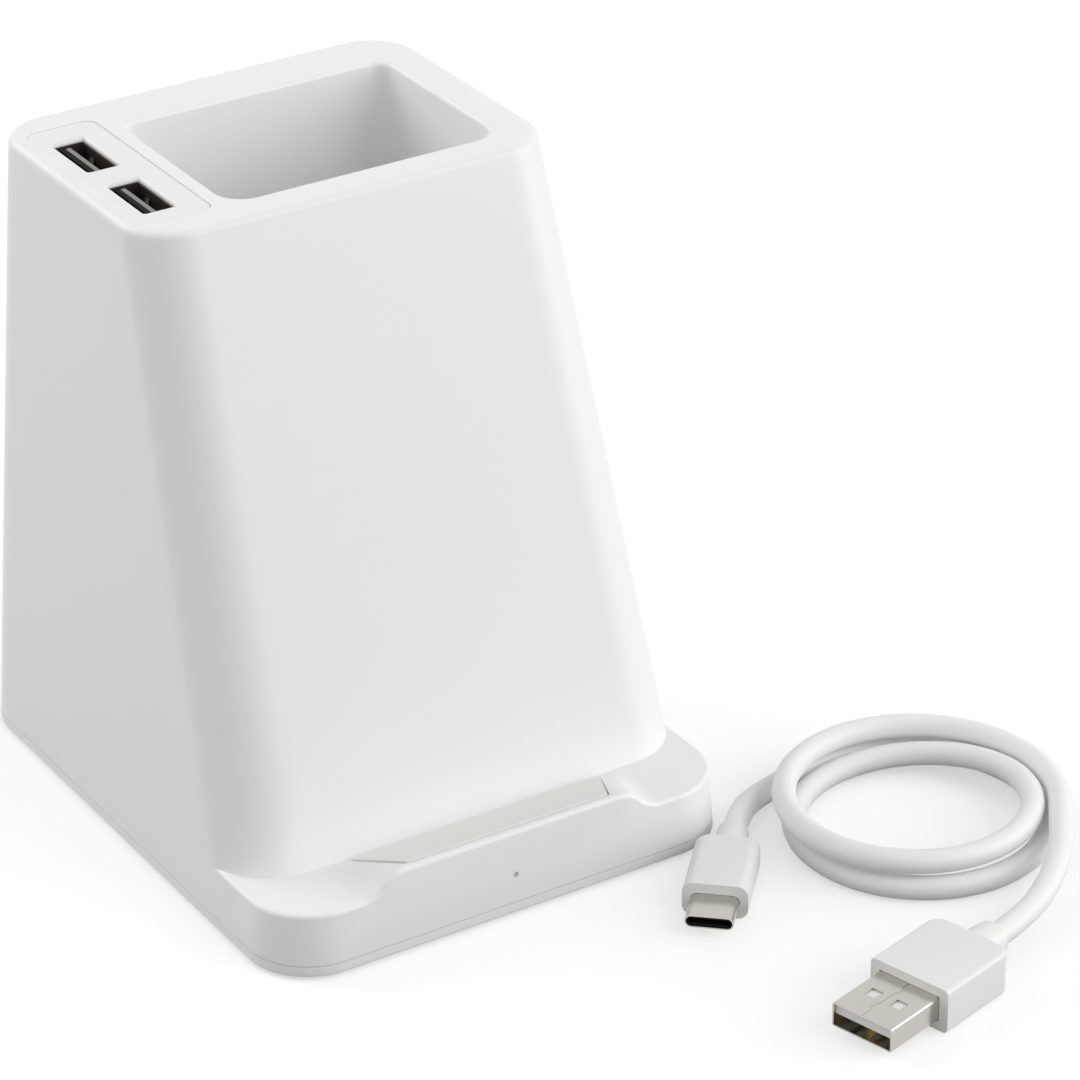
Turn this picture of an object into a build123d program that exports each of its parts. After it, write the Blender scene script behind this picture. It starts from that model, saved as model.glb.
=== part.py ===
"""A desk pen holder with a leaning wireless charging face, a phone ledge, two USB-A ports and its loose charge cable.

Millimetres, +Z up. The origin is on the desk, under the middle of the holder's footprint. -Y is the front, where the
phone leans, and +X is the right side as seen from the front.
"""
from build123d import *
import math
import os

# General fits and walls
overrun = 3.0               # how far a cut runs past the face it opens
fit = 0.05                  # clearance of a snug fit, each side
loose_fit = 0.15            # clearance of an easy fit, each side
skin_gap = 0.1              # adhesive or air between stacked flat pieces

# Outside of the holder
height = 114.0
foot_width, foot_depth = 88.8, 112.0
side_lean, back_lean = 5.9, 9.7         # how far each side and the back lean in over the height
face_setback = 10.0         # charging face's line on the desk, behind the front
front_corner_foot, front_corner_top = 11.7, 9.8
back_corner_foot, back_corner_top = 12.0, 9.2
front_draft_share = 0.04    # lean of the low front wall
top_round, rim_round = 1.5, 0.8

# Shell walls
tower_wall, skirt_wall, top_wall, shelf_wall = 2.2, 2.6, 2.4, 2.2

# Shelf and phone ledge
shelf_z = 12.0
ledge_root_z, ledge_tuck = 11.7, 0.7     # the ledge's floor runs this far in behind the charging face's foot
ledge_front_z = 16.3
ledge_half_front, ledge_half_root = 20.0, 24.5
slope_half_front, slope_half_root = 29.0, 31.0
ledge_block = 21.4          # how far the shelf's block reaches back inside the tower
ledge_wall = 2.0

# Grip strip on the ledge
strip_length, strip_thick = 10.8, 1.2
strip_half_front, strip_half_root = 19.4, 24.4
strip_root_gap = 1.0        # from the foot of the charging face
strip_gap = 0.25            # dark line round the strip
strip_corner = 0.8

# Pen cup
cup_right_rim, cup_front_rim, cup_back_rim, cup_panel_gap = 7.5, 6.5, 11.2, 3.0
cup_clear = 12.8            # from the main board up to the cup's underside
cup_front_corner, cup_back_corner = 5.0, 3.0
cup_draft, cup_wall, cup_floor = 1.6, 1.8, 2.0
cup_mouth_round, cup_floor_round = 0.8, 1.5

# Port panel
panel_width, panel_corner = 12.7, 2.2
panel_side_rim, panel_front_rim, panel_back_rim = 3.0, 5.9, 6.5
panel_gap, panel_sink = 0.08, 0.1
port_end_gap = 5.3          # from the outer ports' mouths to the panel's ends
tab_width, tab_length, tab_thick = 5.0, 3.6, 1.6
post_radius, post_gap = 1.8, 0.6

# USB-A ports in the panel
port_side_shift, port_front_shift, port_pitch = 1.05, 0.5, 19.6     # of the ports' middle from the panel's
mouth_width, mouth_length, mouth_corner = 5.8, 13.2, 0.4
port_shell_wall, port_sink, port_body = 0.3, 0.75, 14.5
port_base = 4.5
tongue_tip_sink, tongue_length, tongue_thick, plate_thick = 0.15, 11.1, 0.99, 0.85
tongue_shift = 0.95         # of the line between tongue and plate from the middle of the mouth, towards -X
contact_wide, contact_thick, contact_pitch, contact_long = 1.2, 0.2, 2.5, 6.0
contact_tip_sink = 1.0
contact_count = 4

# Output board under the ports
out_board_width, out_board_margin, board_thick = 12.4, 1.0, 1.6       # margin past the posts

# Small screws of the panel and the output board
small_shank, small_head, small_head_high = 0.75, 1.5, 1.0      # radii and head height
panel_screw_bite, out_screw_bite = 1.7, 5.0
pilot_extra = 0.4           # how much deeper a blind pilot hole is than its screw

# Base plate and feet
foot_proud, plate_thick_all, seam_gap = 0.6, 1.9, 0.12
plate_round = 0.4
lip_clear, lip_thick, lip_high = 0.2, 1.4, 2.5
foot_inset_x, foot_inset_y = 10.4, 11.0
foot_radius, foot_recess, foot_round = 5.0, 0.8, 0.5
screw_shank, screw_head, screw_head_high = 1.25, 2.5, 1.4
screw_head_sink, screw_seat, screw_bite = 1.6, 1.6, 4.6
boss_radius, back_boss_high, rib_thick, rib_clear = 3.4, 11.4, 1.6, 0.4

# Main board
main_side_gap, main_front_gap, main_back_gap = 2.6, 12.5, 0.8         # to the bosses, the front and the back wall
main_standoff, standoff_radius = 3.1, 2.4
main_screw_side, main_screw_front, main_screw_back = 4.0, 6.5, 11.7   # in from the board's edges
board_shank, board_head, board_head_high, board_screw_bite = 1.0, 2.0, 1.3, 2.4
board_floor_skin = 0.3      # plate left under a board screw's hole

# What the main board carries: length along X, length along Y, height
chip_size = (7.0, 7.0, 0.9)
chip_x, chip_front = 8.0, 25.5
inductor_size = (7.3, 6.6, 4.0)
inductor_side, inductor_pitch, inductor_back, inductor_count = 10.0, 10.0, 21.7, 2
capacitor_radius, capacitor_high = 2.5, 5.8
capacitor_side, capacitor_pitch, capacitor_back, capacitor_count = 4.0, 6.0, 34.0, 4

# Indicator lamp in the front wall
pinhole_radius = 0.5
pipe_radius, lamp_gap = 1.5, 0.3
led_size = (3.0, 1.2, 1.1)

# USB-C inlet at the back
inlet_width, inlet_high, inlet_long, inlet_wall = 8.94, 3.16, 7.3, 0.3
inlet_sink, inlet_window_gap = 0.8, 0.35
inlet_tongue_width, inlet_tongue_thick, inlet_tongue_long, inlet_base_long = 6.69, 0.7, 4.4, 1.8

# Charging coil, ferrite and bracket, stacked on the inside of the face
coil_up = 52.3              # from the ledge up to the coil's middle
bracket_high, bracket_thick, bracket_corner, bracket_side_gap = 52.0, 1.6, 3.0, 5.54       # gap to the side walls
bracket_boss_inset, bracket_boss_up, bracket_boss_radius = 4.0, 18.0, 2.4
bracket_bite = 3.4
ferrite_gap = 0.6           # from the ferrite sheet to the bosses beside it
ferrite_thick, ferrite_corner, ferrite_hole, ferrite_slot = 1.8, 2.0, 9.2, 2.4
winding_wire, winding_inner, winding_pitch = 0.5, 10.5, 1.45        # wire radius, first radius
winding_margin = 1.45       # from the outer turn to the ferrite sheet's edge

# Inner wires
power_wire, coil_wire = 0.7, 0.5        # radii
wire_gap = 0.9
crossing_x = 2.0            # where the winding's inner end crosses below the ferrite, on the coil plane
lead_loop = 3.0             # of the winding's inner end before it leaves
lead_inset, lead_straight = 3.0, 6.0        # power leads: from the main board's edge, and straight above it

# Charge cable: cord
cord = 4.2                  # diameter
coil_outer = 53.4
coil_x, coil_y = 70.7, -70.0
turn_gap, layer_gap = 0.5, 0.5
coil_start_angle, coil_turns, coil_steps = -38.2, 2.4, 10
end_run_share = 1.0         # straight end of the coil, in cord diameters
bend_share = 0.45           # of the shorter run, taken by the arc at a corner

# Charge cable: USB-A plug
a_plug_turn = -164.1        # degrees on the desk, from boot to tip
a_lead_run = 9.3
a_boot_long, a_boot_root, a_boot_end = 5.0, 3.7, 3.1
a_body_long, a_body_wide, a_body_high, a_body_round, a_back_round = 17.0, 15.6, 8.0, 0.9, 2.6
a_shell_long, a_shell_wide, a_shell_high, a_shell_wall = 12.0, 12.0, 4.5, 0.3
a_shell_hold, a_shell_round = 3.0, 0.5
a_window, a_window_from_tip, a_window_apart = 2.2, 6.2, 5.0
a_seam_wide, a_seam_deep = 0.15, 0.12    # groove where the bent shell meets itself
a_seam_jag, a_seam_jag_long = 0.45, 1.2  # its two steps aside, one each way
a_seam_jag_places = (2.6, 8.6)           # of their middles, from the grip
a_insert_thick, a_insert_back = 1.95, 0.6
a_contact_long, a_contact_wide, a_contact_thick, a_contact_pitch = 7.4, 1.1, 0.15, 2.3

# Charge cable: USB-C plug
c_plug_turn = -132.3
c_lead_run = 7.4
c_boot_long, c_boot_root, c_boot_end = 4.5, 3.0, 2.7
c_body_long, c_body_wide, c_body_high, c_body_round, c_back_round = 16.8, 11.1, 6.2, 1.9, 2.4
c_shell_long, c_shell_wide, c_shell_high, c_shell_wall = 6.7, 8.25, 2.4, 0.25
c_shell_hold = 2.5
c_slot_wide, c_slot_high, c_slot_deep = 6.9, 0.9, 5.4

# Places that follow from the sizes above
plate_bottom = foot_proud
plate_top = plate_bottom + plate_thick_all
shell_bottom = plate_top + seam_gap
lip_top = plate_top + lip_high
recess_top = plate_bottom + foot_recess
head_top = recess_top + screw_head_sink
boss_bottom = head_top + screw_seat
foot_x, foot_y = foot_width / 2 - foot_inset_x, foot_depth / 2 - foot_inset_y
main_bottom = plate_top + main_standoff
main_top = main_bottom + board_thick
main_half_width = foot_x - boss_radius - main_side_gap
main_front_y = -foot_depth / 2 + main_front_gap
lamp_z = main_top + led_size[2] / 2
top_width = foot_width - 2 * side_lean
panel_length = port_pitch + mouth_length + 2 * port_end_gap
top_depth = panel_front_rim + panel_length + panel_back_rim
face_lean = foot_depth - face_setback - back_lean - top_depth       # how far the charging face leans back
top_front_y, top_back_y = foot_depth / 2 - back_lean - top_depth, foot_depth / 2 - back_lean
panel_top = height - panel_sink
ceiling = height - top_wall
panel_x = -top_width / 2 + panel_side_rim + panel_width / 2
panel_y = top_front_y + panel_front_rim + panel_length / 2
cup_left, cup_right = panel_x + panel_width / 2 + cup_panel_gap, top_width / 2 - cup_right_rim
cup_front, cup_back = top_front_y + cup_front_rim, top_back_y - cup_back_rim
cup_width, cup_length = cup_right - cup_left, cup_back - cup_front
cup_x, cup_y = (cup_left + cup_right) / 2, (cup_front + cup_back) / 2
cup_bottom = main_top + cup_clear
cup_deep = height - cup_bottom - cup_floor
port_top = panel_top - port_sink
out_board_top = port_top - port_body
out_board_bottom = out_board_top - board_thick
port_x, port_middle_y = panel_x - port_side_shift, panel_y - port_front_shift
port_rows = {"front": port_middle_y - port_pitch / 2, "rear": port_middle_y + port_pitch / 2}
post_reach = (port_pitch + mouth_length) / 2 + post_gap + post_radius
post_places = (port_middle_y - post_reach, port_middle_y + post_reach)
tab_places = (panel_y - (panel_length + tab_length) / 2, panel_y + (panel_length + tab_length) / 2)
face_slope = face_lean / height
face_wall_run = tower_wall * math.hypot(1, face_slope)     # the wall's thickness, measured level
ledge_root_y = -foot_depth / 2 + face_setback + face_slope * ledge_root_z + ledge_tuck
coil_z = ledge_root_z + coil_up


def along(foot, top, z):
    """A size that changes evenly from the desk to the top."""
    return foot + (top - foot) * z / height


def side_at(z):
    return along(foot_width, top_width, z) / 2


def back_at(z):
    return foot_depth / 2 - back_lean * z / height


def face_at(z):
    return -foot_depth / 2 + face_setback + face_lean * z / height


def front_at(z):
    return -foot_depth / 2 + front_draft_share * z


def main_back_y():
    return back_at(main_top) - skirt_wall - main_back_gap


def rounded_ring(z, half_x, front, back, front_corner, back_corner):
    """A level face at height z with its own radius for the front and the back corners."""
    sides = [
        (Vector(-half_x + front_corner, front), Vector(half_x - front_corner, front)),
        (Vector(half_x, front + front_corner), Vector(half_x, back - back_corner)),
        (Vector(half_x - back_corner, back), Vector(-half_x + back_corner, back)),
        (Vector(-half_x, back - back_corner), Vector(-half_x, front + front_corner)),
    ]
    edges = []
    for (start, end), (following, _) in zip(sides, sides[1:] + sides[:1]):
        edges.append(Edge.make_line(start, end))
        edges.append(Edge.make_tangent_arc(end, end - start, following))
    return Pos(0, 0, z) * make_face(edges)


def tower_block(low, high, inset=0):
    """The tower between two heights, its walls set in by inset."""
    inset_level = inset * math.hypot(1, face_slope)
    rings = []
    for z in (low, high):
        front_corner = along(front_corner_foot, front_corner_top, z) - inset
        back_corner = along(back_corner_foot, back_corner_top, z) - inset
        rings.append(rounded_ring(z, side_at(z) - inset, face_at(z) + inset_level, back_at(z) - inset,
                                  front_corner, back_corner))
    return loft(rings, ruled=True)


def skirt_block(low, high, inset=0):
    """The low base between two heights, its walls set in by inset."""
    rings = []
    for z in (low, high):
        front_corner = along(front_corner_foot, front_corner_top, z) - inset
        back_corner = along(back_corner_foot, back_corner_top, z) - inset
        rings.append(rounded_ring(z, side_at(z) - inset, front_at(z) + inset, back_at(z) - inset,
                                  front_corner, back_corner))
    return loft(rings, ruled=True)


def ledge_slope():
    return (ledge_front_z - ledge_root_z) / (ledge_root_y + foot_depth / 2)


def ledge_at(y):
    """Height of the ledge's floor."""
    return ledge_root_z + (ledge_root_y - y) * ledge_slope()


def ledge_profile(y, flat_half, slope_half):
    """Shelf, swept-up slopes and flat ledge, as an upright face at y."""
    top = ledge_at(y)
    middle_x, middle_z = (flat_half + slope_half) / 2, (top + shelf_z) / 2
    low = [
        Vector(slope_half, shelf_z), Vector(foot_width, shelf_z), Vector(foot_width, 0),
        Vector(-foot_width, 0), Vector(-foot_width, shelf_z), Vector(-slope_half, shelf_z),
    ]
    right, left = Vector(1, 0), Vector(-1, 0)
    edges = [Edge.make_line(start, end) for start, end in zip(low, low[1:])]
    edges.append(Edge.make_tangent_arc(low[-1], right, Vector(-middle_x, middle_z)))
    edges.append(Edge.make_tangent_arc(Vector(-flat_half, top), left, Vector(-middle_x, middle_z)))
    edges.append(Edge.make_line(Vector(-flat_half, top), Vector(flat_half, top)))
    edges.append(Edge.make_tangent_arc(Vector(flat_half, top), right, Vector(middle_x, middle_z)))
    edges.append(Edge.make_tangent_arc(low[0], left, Vector(middle_x, middle_z)))
    return Plane(origin=(0, y, 0), x_dir=(1, 0, 0), z_dir=(0, -1, 0)) * make_face(edges)


def front_block():
    """The low front with its shelf and ledge, softened along the outer rim."""
    front = -foot_depth / 2 - overrun
    reach_share = (ledge_root_y - front) / (ledge_root_y + foot_depth / 2)
    flat_half = ledge_half_root + (ledge_half_front - ledge_half_root) * reach_share
    slope_half = slope_half_root + (slope_half_front - slope_half_root) * reach_share
    ground = loft([ledge_profile(front, flat_half, slope_half),
                   ledge_profile(ledge_root_y, ledge_half_root, slope_half_root)], ruled=True)
    ground += Pos(0, ledge_root_y + ledge_block / 2, shelf_z / 2) * Box(2 * foot_width, ledge_block, shelf_z)
    block = skirt_block(shell_bottom, ledge_front_z + overrun) & ground
    return fillet([edge for edge in block.edges() if is_rim(edge)], rim_round)


def is_rim(edge):
    """Whether an edge lies on the outer upper rim of the low front."""
    box, place = edge.bounding_box(), edge.center()
    high_enough = box.min.Z > shelf_z - rim_round / 2
    in_front = place.Y < front_at(shelf_z) + rim_round and box.size.Y < front_corner_foot / 2
    at_side = abs(place.X) > side_at(shelf_z) - front_corner_foot and box.size.Y > front_corner_foot / 2
    return high_enough and (in_front or at_side) and box.size.Z < shelf_z / 2


def ledge_plane():
    """On the ledge's floor at its root, X to the right and Y up the floor towards the back."""
    lean = Vector(0, ledge_slope(), 1)
    return Plane(origin=(0, face_foot_y(), ledge_at(face_foot_y())), x_dir=(1, 0, 0), z_dir=lean)


def face_foot_y():
    """Where the charging face meets the ledge."""
    return face_at(ledge_root_z)


def strip_outline(grow):
    """The grip strip's outline, on the ledge plane, grown by a gap."""
    back, front = -strip_root_gap + grow, -strip_root_gap - strip_length - grow
    corners = [
        (-strip_half_front - grow, front), (strip_half_front + grow, front),
        (strip_half_root + grow, back), (-strip_half_root - grow, back),
    ]
    outline = Polygon(*corners, align=None)
    return fillet(outline.vertices(), strip_corner + grow)


def cup_ring(z, grow):
    narrow = cup_draft * (height - z) / cup_deep
    half_x, half_y = cup_width / 2 - narrow + grow, cup_length / 2 - narrow + grow
    ring = rounded_ring(z, half_x, -half_y, half_y, cup_front_corner + grow, cup_back_corner + grow)
    return Pos(cup_x, cup_y, 0) * ring


def coil_plane():
    """On the inside of the charging face behind the coil's middle, Y up the face and Z pointing inwards."""
    inward = Vector(0, 1, -face_slope)
    return Plane(origin=(0, face_at(coil_z) + face_wall_run, coil_z), x_dir=(-1, 0, 0), z_dir=inward)


def bracket_half():
    """Half the bracket's width, which leaves its gap to the side walls at its upper edge."""
    return side_at(coil_z + bracket_high / 2) - tower_wall - bracket_side_gap


def boss_x():
    return bracket_half() - bracket_boss_inset


def bracket_points():
    return [(x, y) for x in (-boss_x(), boss_x()) for y in (-bracket_boss_up, bracket_boss_up)]


def ferrite_half():
    """Half the side of the ferrite sheet, which fills the room between the bosses."""
    return boss_x() - bracket_boss_radius - ferrite_gap


def winding_turns():
    """As many whole turns as the ferrite sheet covers."""
    return round((ferrite_half() - winding_margin - winding_inner) / winding_pitch)


def stack_height():
    """From the inside of the face to the bracket: gap, winding, gap and ferrite."""
    return skin_gap + 2 * winding_wire + skin_gap + ferrite_thick


def foot_points():
    return [(x, y) for x in (-foot_x, foot_x) for y in (-foot_y, foot_y)]


def rod(radius, low, high, x=0, y=0):
    """An upright cylinder between two heights."""
    return Pos(x, y, (low + high) / 2) * Cylinder(radius, high - low)


def rod_y(radius, front, back, x, z):
    """A level cylinder along Y."""
    return Pos(x, (front + back) / 2, z) * (Rot(90, 0, 0) * Cylinder(radius, back - front))


def plate(width, length, low, high, corner, x=0, y=0):
    """A flat upright-edged plate with round corners."""
    return Pos(x, y, low) * extrude(RectangleRounded(width, length, corner), high - low)


def block(size, x, y, low):
    """A box that stands at a height."""
    wide, long, high = size
    return Pos(x, y, low + high / 2) * Box(wide, long, high)


def stadium_y(width, tall, front, back, x, z):
    """A bar along Y with a stadium section."""
    section = SlotOverall(width, tall) if width > tall else Circle(tall / 2)
    return Plane(origin=(x, front, z), x_dir=(1, 0, 0), z_dir=(0, 1, 0)) * extrude(section, back - front)


def outer_shell():
    tower = tower_block(shell_bottom, height)
    tower = fillet([edge for edge in tower.edges() if edge.center().Z > height - top_round / 2], top_round)
    shell = tower + front_block()
    shell -= tower_block(shell_bottom - overrun, ceiling, tower_wall)
    shell -= skirt_block(shell_bottom - overrun, shelf_z - shelf_wall, skirt_wall)
    shell -= ledge_hollow()
    shell += loft([cup_ring(cup_bottom, cup_wall), cup_ring(ceiling + top_wall / 2, cup_wall)],
                  ruled=True)
    pocket = loft([cup_ring(height - cup_deep, 0), cup_ring(height + overrun, 0)], ruled=True)
    floor_edges = [edge for edge in pocket.edges() if edge.center().Z < height - cup_deep + cup_floor_round / 2]
    shell -= fillet(floor_edges, cup_floor_round)
    shell = fillet([edge for edge in shell.edges() if is_cup_mouth(edge)], cup_mouth_round)
    shell -= plate(panel_width + 2 * panel_gap, panel_length + 2 * panel_gap, ceiling - overrun, height + overrun,
                   panel_corner + panel_gap, panel_x, panel_y)
    shell -= ledge_plane() * extrude(strip_outline(strip_gap), -strip_thick)
    shell -= ledge_plane() * extrude(strip_outline(strip_gap), overrun)
    for x, y in foot_points():
        shell += base_boss(x, y)
    hole_top = boss_bottom + screw_bite + pilot_extra
    for x, y in foot_points():
        shell -= rod(screw_shank + fit, boss_bottom - overrun, hole_top, x, y)
    for x, y in bracket_points():
        shell += coil_plane() * rod(bracket_boss_radius, -tower_wall / 2, stack_height(), x, y)
    for x, y in bracket_points():
        deep = stack_height() - bracket_bite - pilot_extra + bracket_thick
        shell -= coil_plane() * rod(board_shank + fit, deep, stack_height() + overrun, x, y)
    for y in tab_places:
        shell -= rod(small_shank + fit, ceiling - overrun, ceiling + panel_screw_bite + pilot_extra / 2, panel_x, y)
    shell -= rod_y(pinhole_radius, front_at(0) - overrun, front_at(lamp_z) + skirt_wall + overrun, 0, lamp_z)
    inlet_z = main_top + inlet_high / 2
    shell -= stadium_y(inlet_width + 2 * inlet_window_gap, inlet_high + 2 * inlet_window_gap,
                       back_at(0) - skirt_wall - overrun, back_at(0) + overrun, 0, inlet_z)
    return shell


def is_cup_mouth(edge):
    place = edge.center()
    near_x = abs(place.X - cup_x) < cup_width / 2 + cup_wall / 2
    near_y = abs(place.Y - cup_y) < cup_length / 2 + cup_wall / 2
    return place.Z > height - cup_mouth_round / 2 and near_x and near_y


def ledge_hollow():
    """The space under the ledge, so that its wall stays even."""
    front = front_at(shelf_z) + skirt_wall
    back = (front + ledge_root_y) / 2
    low = shelf_z - shelf_wall - overrun
    sink = strip_thick + ledge_wall
    side = [(front, low), (front, ledge_at(front) - sink), (back, ledge_at(back) - sink), (back, low)]
    face = Plane(origin=(0, 0, 0), x_dir=(0, 1, 0), z_dir=(1, 0, 0)) * make_face(Polyline(*side, close=True))
    return extrude(face, ledge_half_front - ledge_wall, both=True)


def base_boss(x, y):
    """A screw boss: in front it hangs from the shelf, at the back a rib ties it to the side wall."""
    if y < 0:
        return rod(boss_radius, boss_bottom, shelf_z - shelf_wall / 2, x, y)
    top = boss_bottom + back_boss_high
    rib_low = lip_top + rib_clear
    reach = side_at(rib_low) - skirt_wall / 2
    inner, outer = sorted((x, math.copysign(reach, x)))
    rib = Pos((inner + outer) / 2, y, (rib_low + top) / 2) * Box(outer - inner, rib_thick, top - rib_low)
    return rod(boss_radius, boss_bottom, top, x, y) + rib


def base_plate():
    slab = skirt_block(plate_bottom, plate_top)
    slab = fillet([edge for edge in slab.edges() if edge.center().Z < plate_bottom + plate_round / 2], plate_round)
    lip = skirt_block(plate_top - plate_thick_all / 2, lip_top, skirt_wall + lip_clear)
    lip -= skirt_block(plate_bottom - overrun, lip_top + overrun, skirt_wall + lip_clear + lip_thick)
    slab += lip
    for x, y in foot_points():
        slab += rod(boss_radius, plate_top - plate_thick_all / 2, boss_bottom, x, y)
    for x, y in main_screw_points():
        slab += rod(standoff_radius, plate_top - plate_thick_all / 2, main_bottom, x, y)
    for x, y in foot_points():
        slab -= rod(foot_radius + fit, plate_bottom - overrun, recess_top, x, y)
        slab -= rod(screw_head + loose_fit, recess_top - overrun, head_top, x, y)
        slab -= rod(screw_shank + loose_fit, recess_top, boss_bottom + overrun, x, y)
    for x, y in main_screw_points():
        slab -= rod(board_shank + fit, plate_bottom + board_floor_skin, main_bottom + overrun, x, y)
    return slab


def main_screw_points():
    x = main_half_width - main_screw_side
    rows = (main_front_y + main_screw_front, main_back_y() - main_screw_back)
    return [(side * x, y) for side in (-1, 1) for y in rows]


def rubber_feet():
    feet = []
    for x, y in foot_points():
        foot = rod(foot_radius, 0, recess_top, x, y)
        feet.append(fillet(foot.edges().group_by(Axis.Z)[0], foot_round))
    return feet


def screw(shank, head, head_high, seat, tip, x, y, slot_share=0.5):
    """A pan-head screw whose head sits under or over its seat, with a cross recess in the head."""
    down = seat > tip
    far = seat + head_high if down else seat - head_high
    head_body = rod(head, min(seat, far), max(seat, far), x, y)
    depth = head_high * slot_share
    recess_low, recess_high = (far - depth, far + overrun) if down else (far - overrun, far + depth)
    recess_at = Pos(x, y, (recess_low + recess_high) / 2)
    arm = Box(head, head / 4, recess_high - recess_low)
    body = head_body + rod(shank, min(seat, tip), max(seat, tip), x, y)
    body -= recess_at * arm
    body -= recess_at * (Rot(0, 0, 90) * arm)
    return body


def base_screws():
    tip = boss_bottom + screw_bite
    return [screw(screw_shank, screw_head, screw_head_high, head_top, tip, x, y) for x, y in foot_points()]


def main_board():
    back = main_back_y()
    board = Pos(0, (main_front_y + back) / 2, (main_bottom + main_top) / 2)
    board = board * Box(2 * main_half_width, back - main_front_y, board_thick)
    for x, y in main_screw_points():
        board -= rod(board_shank + loose_fit, main_bottom - overrun, main_top + overrun, x, y)
    return board


def main_board_screws():
    tip = main_bottom - board_screw_bite
    return [screw(board_shank, board_head, board_head_high, main_top, tip, x, y) for x, y in main_screw_points()]


def board_inductors():
    coils = []
    for index in range(inductor_count):
        x = -main_half_width + inductor_side + index * inductor_pitch
        body = block(inductor_size, x, main_back_y() - inductor_back, main_top)
        coils.append(fillet(body.edges().filter_by(Axis.Z), inductor_size[2] / 4))
    return coils


def board_capacitors():
    cans = []
    for index in range(capacitor_count):
        x = main_half_width - capacitor_side - index * capacitor_pitch
        can = rod(capacitor_radius, main_top, main_top + capacitor_high, x, main_back_y() - capacitor_back)
        cans.append(fillet(can.edges().group_by(Axis.Z)[-1], capacitor_radius / 8))
    return cans


def status_led():
    return block(led_size, 0, main_front_y + led_size[1] / 2, main_top)


def led_light_pipe():
    inner_wall = front_at(lamp_z) + skirt_wall
    nose = rod_y(pinhole_radius - fit, front_at(lamp_z) + fit, inner_wall + pipe_radius, 0, lamp_z)
    body = rod_y(pipe_radius, inner_wall + fit, main_front_y - lamp_gap, 0, lamp_z)
    return nose + body


def usb_c_inlet_shell():
    z = main_top + inlet_high / 2
    mouth = back_at(z) - inlet_sink
    outer = stadium_y(inlet_width, inlet_high, mouth - inlet_long, mouth, 0, z)
    inner = stadium_y(inlet_width - 2 * inlet_wall, inlet_high - 2 * inlet_wall,
                      mouth - inlet_long - overrun, mouth + overrun, 0, z)
    return outer - inner


def usb_c_inlet_tongue():
    z = main_top + inlet_high / 2
    rear = back_at(z) - inlet_sink - inlet_long
    base = stadium_y(inlet_width - 2 * inlet_wall - 2 * fit, inlet_high - 2 * inlet_wall - 2 * fit,
                     rear, rear + inlet_base_long, 0, z)
    reach = inlet_base_long + inlet_tongue_long
    tongue = Pos(0, rear + reach / 2, z) * Box(inlet_tongue_width, reach, inlet_tongue_thick)
    return base + tongue


def usb_port_panel():
    panel = plate(panel_width, panel_length, ceiling, panel_top, panel_corner, panel_x, panel_y)
    edges = panel.edges().group_by(Axis.Z)[-1]
    panel = fillet(edges, panel_sink)
    for y in tab_places:
        inward = math.copysign(tab_length / 2, panel_y - y)
        span = Pos(panel_x, y + inward, ceiling - tab_thick / 2) * Box(tab_width, 2 * tab_length, tab_thick)
        panel += span
        panel -= rod(small_shank + loose_fit, ceiling - tab_thick - overrun, ceiling + overrun, panel_x, y)
    for y in post_places:
        panel += rod(post_radius, out_board_top, panel_top - top_wall / 2, panel_x, y)
    for y in port_rows.values():
        panel -= plate(mouth_width, mouth_length, ceiling - tab_thick - overrun, height + overrun, mouth_corner,
                       port_x, y)
    for y in post_places:
        panel -= rod(small_shank + fit, out_board_top - overrun, out_board_top + out_screw_bite + pilot_extra,
                     panel_x, y)
    return panel


def usb_panel_screws():
    seat = ceiling - tab_thick
    tip = ceiling + panel_screw_bite
    return [screw(small_shank, small_head, small_head_high, seat, tip, panel_x, y) for y in tab_places]


def usb_output_board():
    long = 2 * (post_reach + post_radius + out_board_margin)
    board = Pos(panel_x, port_middle_y, (out_board_bottom + out_board_top) / 2)
    board = board * Box(out_board_width, long, board_thick)
    for y in post_places:
        board -= rod(small_shank + loose_fit, out_board_bottom - overrun, out_board_top + overrun, panel_x, y)
    return board


def usb_board_screws():
    seat, tip = out_board_bottom, out_board_top + out_screw_bite
    return [screw(small_shank, small_head, small_head_high, seat, tip, panel_x, y) for y in post_places]


def port_shell(y):
    wide, long = mouth_width - 2 * fit, mouth_length - 2 * fit
    tube = plate(wide, long, out_board_top, port_top, mouth_corner, port_x, y)
    bore = plate(wide - 2 * port_shell_wall, long - 2 * port_shell_wall, out_board_top - overrun, port_top + overrun,
                 mouth_corner / 2, port_x, y)
    return tube - bore


def port_tongue(y):
    wide = mouth_width - 2 * (2 * fit + port_shell_wall)
    long = mouth_length - 2 * (2 * fit + port_shell_wall)
    base = block((wide, long, port_base), port_x, y, out_board_top)
    tall = port_body - tongue_tip_sink
    return base + block((tongue_thick, tongue_length, tall), port_x - tongue_shift - tongue_thick / 2, y,
                        out_board_top)


def port_plate(y):
    low = out_board_top + port_base
    tall = port_body - port_base - tongue_tip_sink
    return block((plate_thick, tongue_length, tall), port_x - tongue_shift + plate_thick / 2, y, low)


def port_contacts(y):
    top = port_top - contact_tip_sink
    x = port_x - tongue_shift + plate_thick + contact_thick / 2
    first = y - contact_pitch * (contact_count - 1) / 2
    size = (contact_thick, contact_wide, contact_long)
    return [block(size, x, first + index * contact_pitch, top - contact_long) for index in range(contact_count)]


def ledge_grip_strip():
    return ledge_plane() * extrude(strip_outline(0), -strip_thick)


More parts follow.
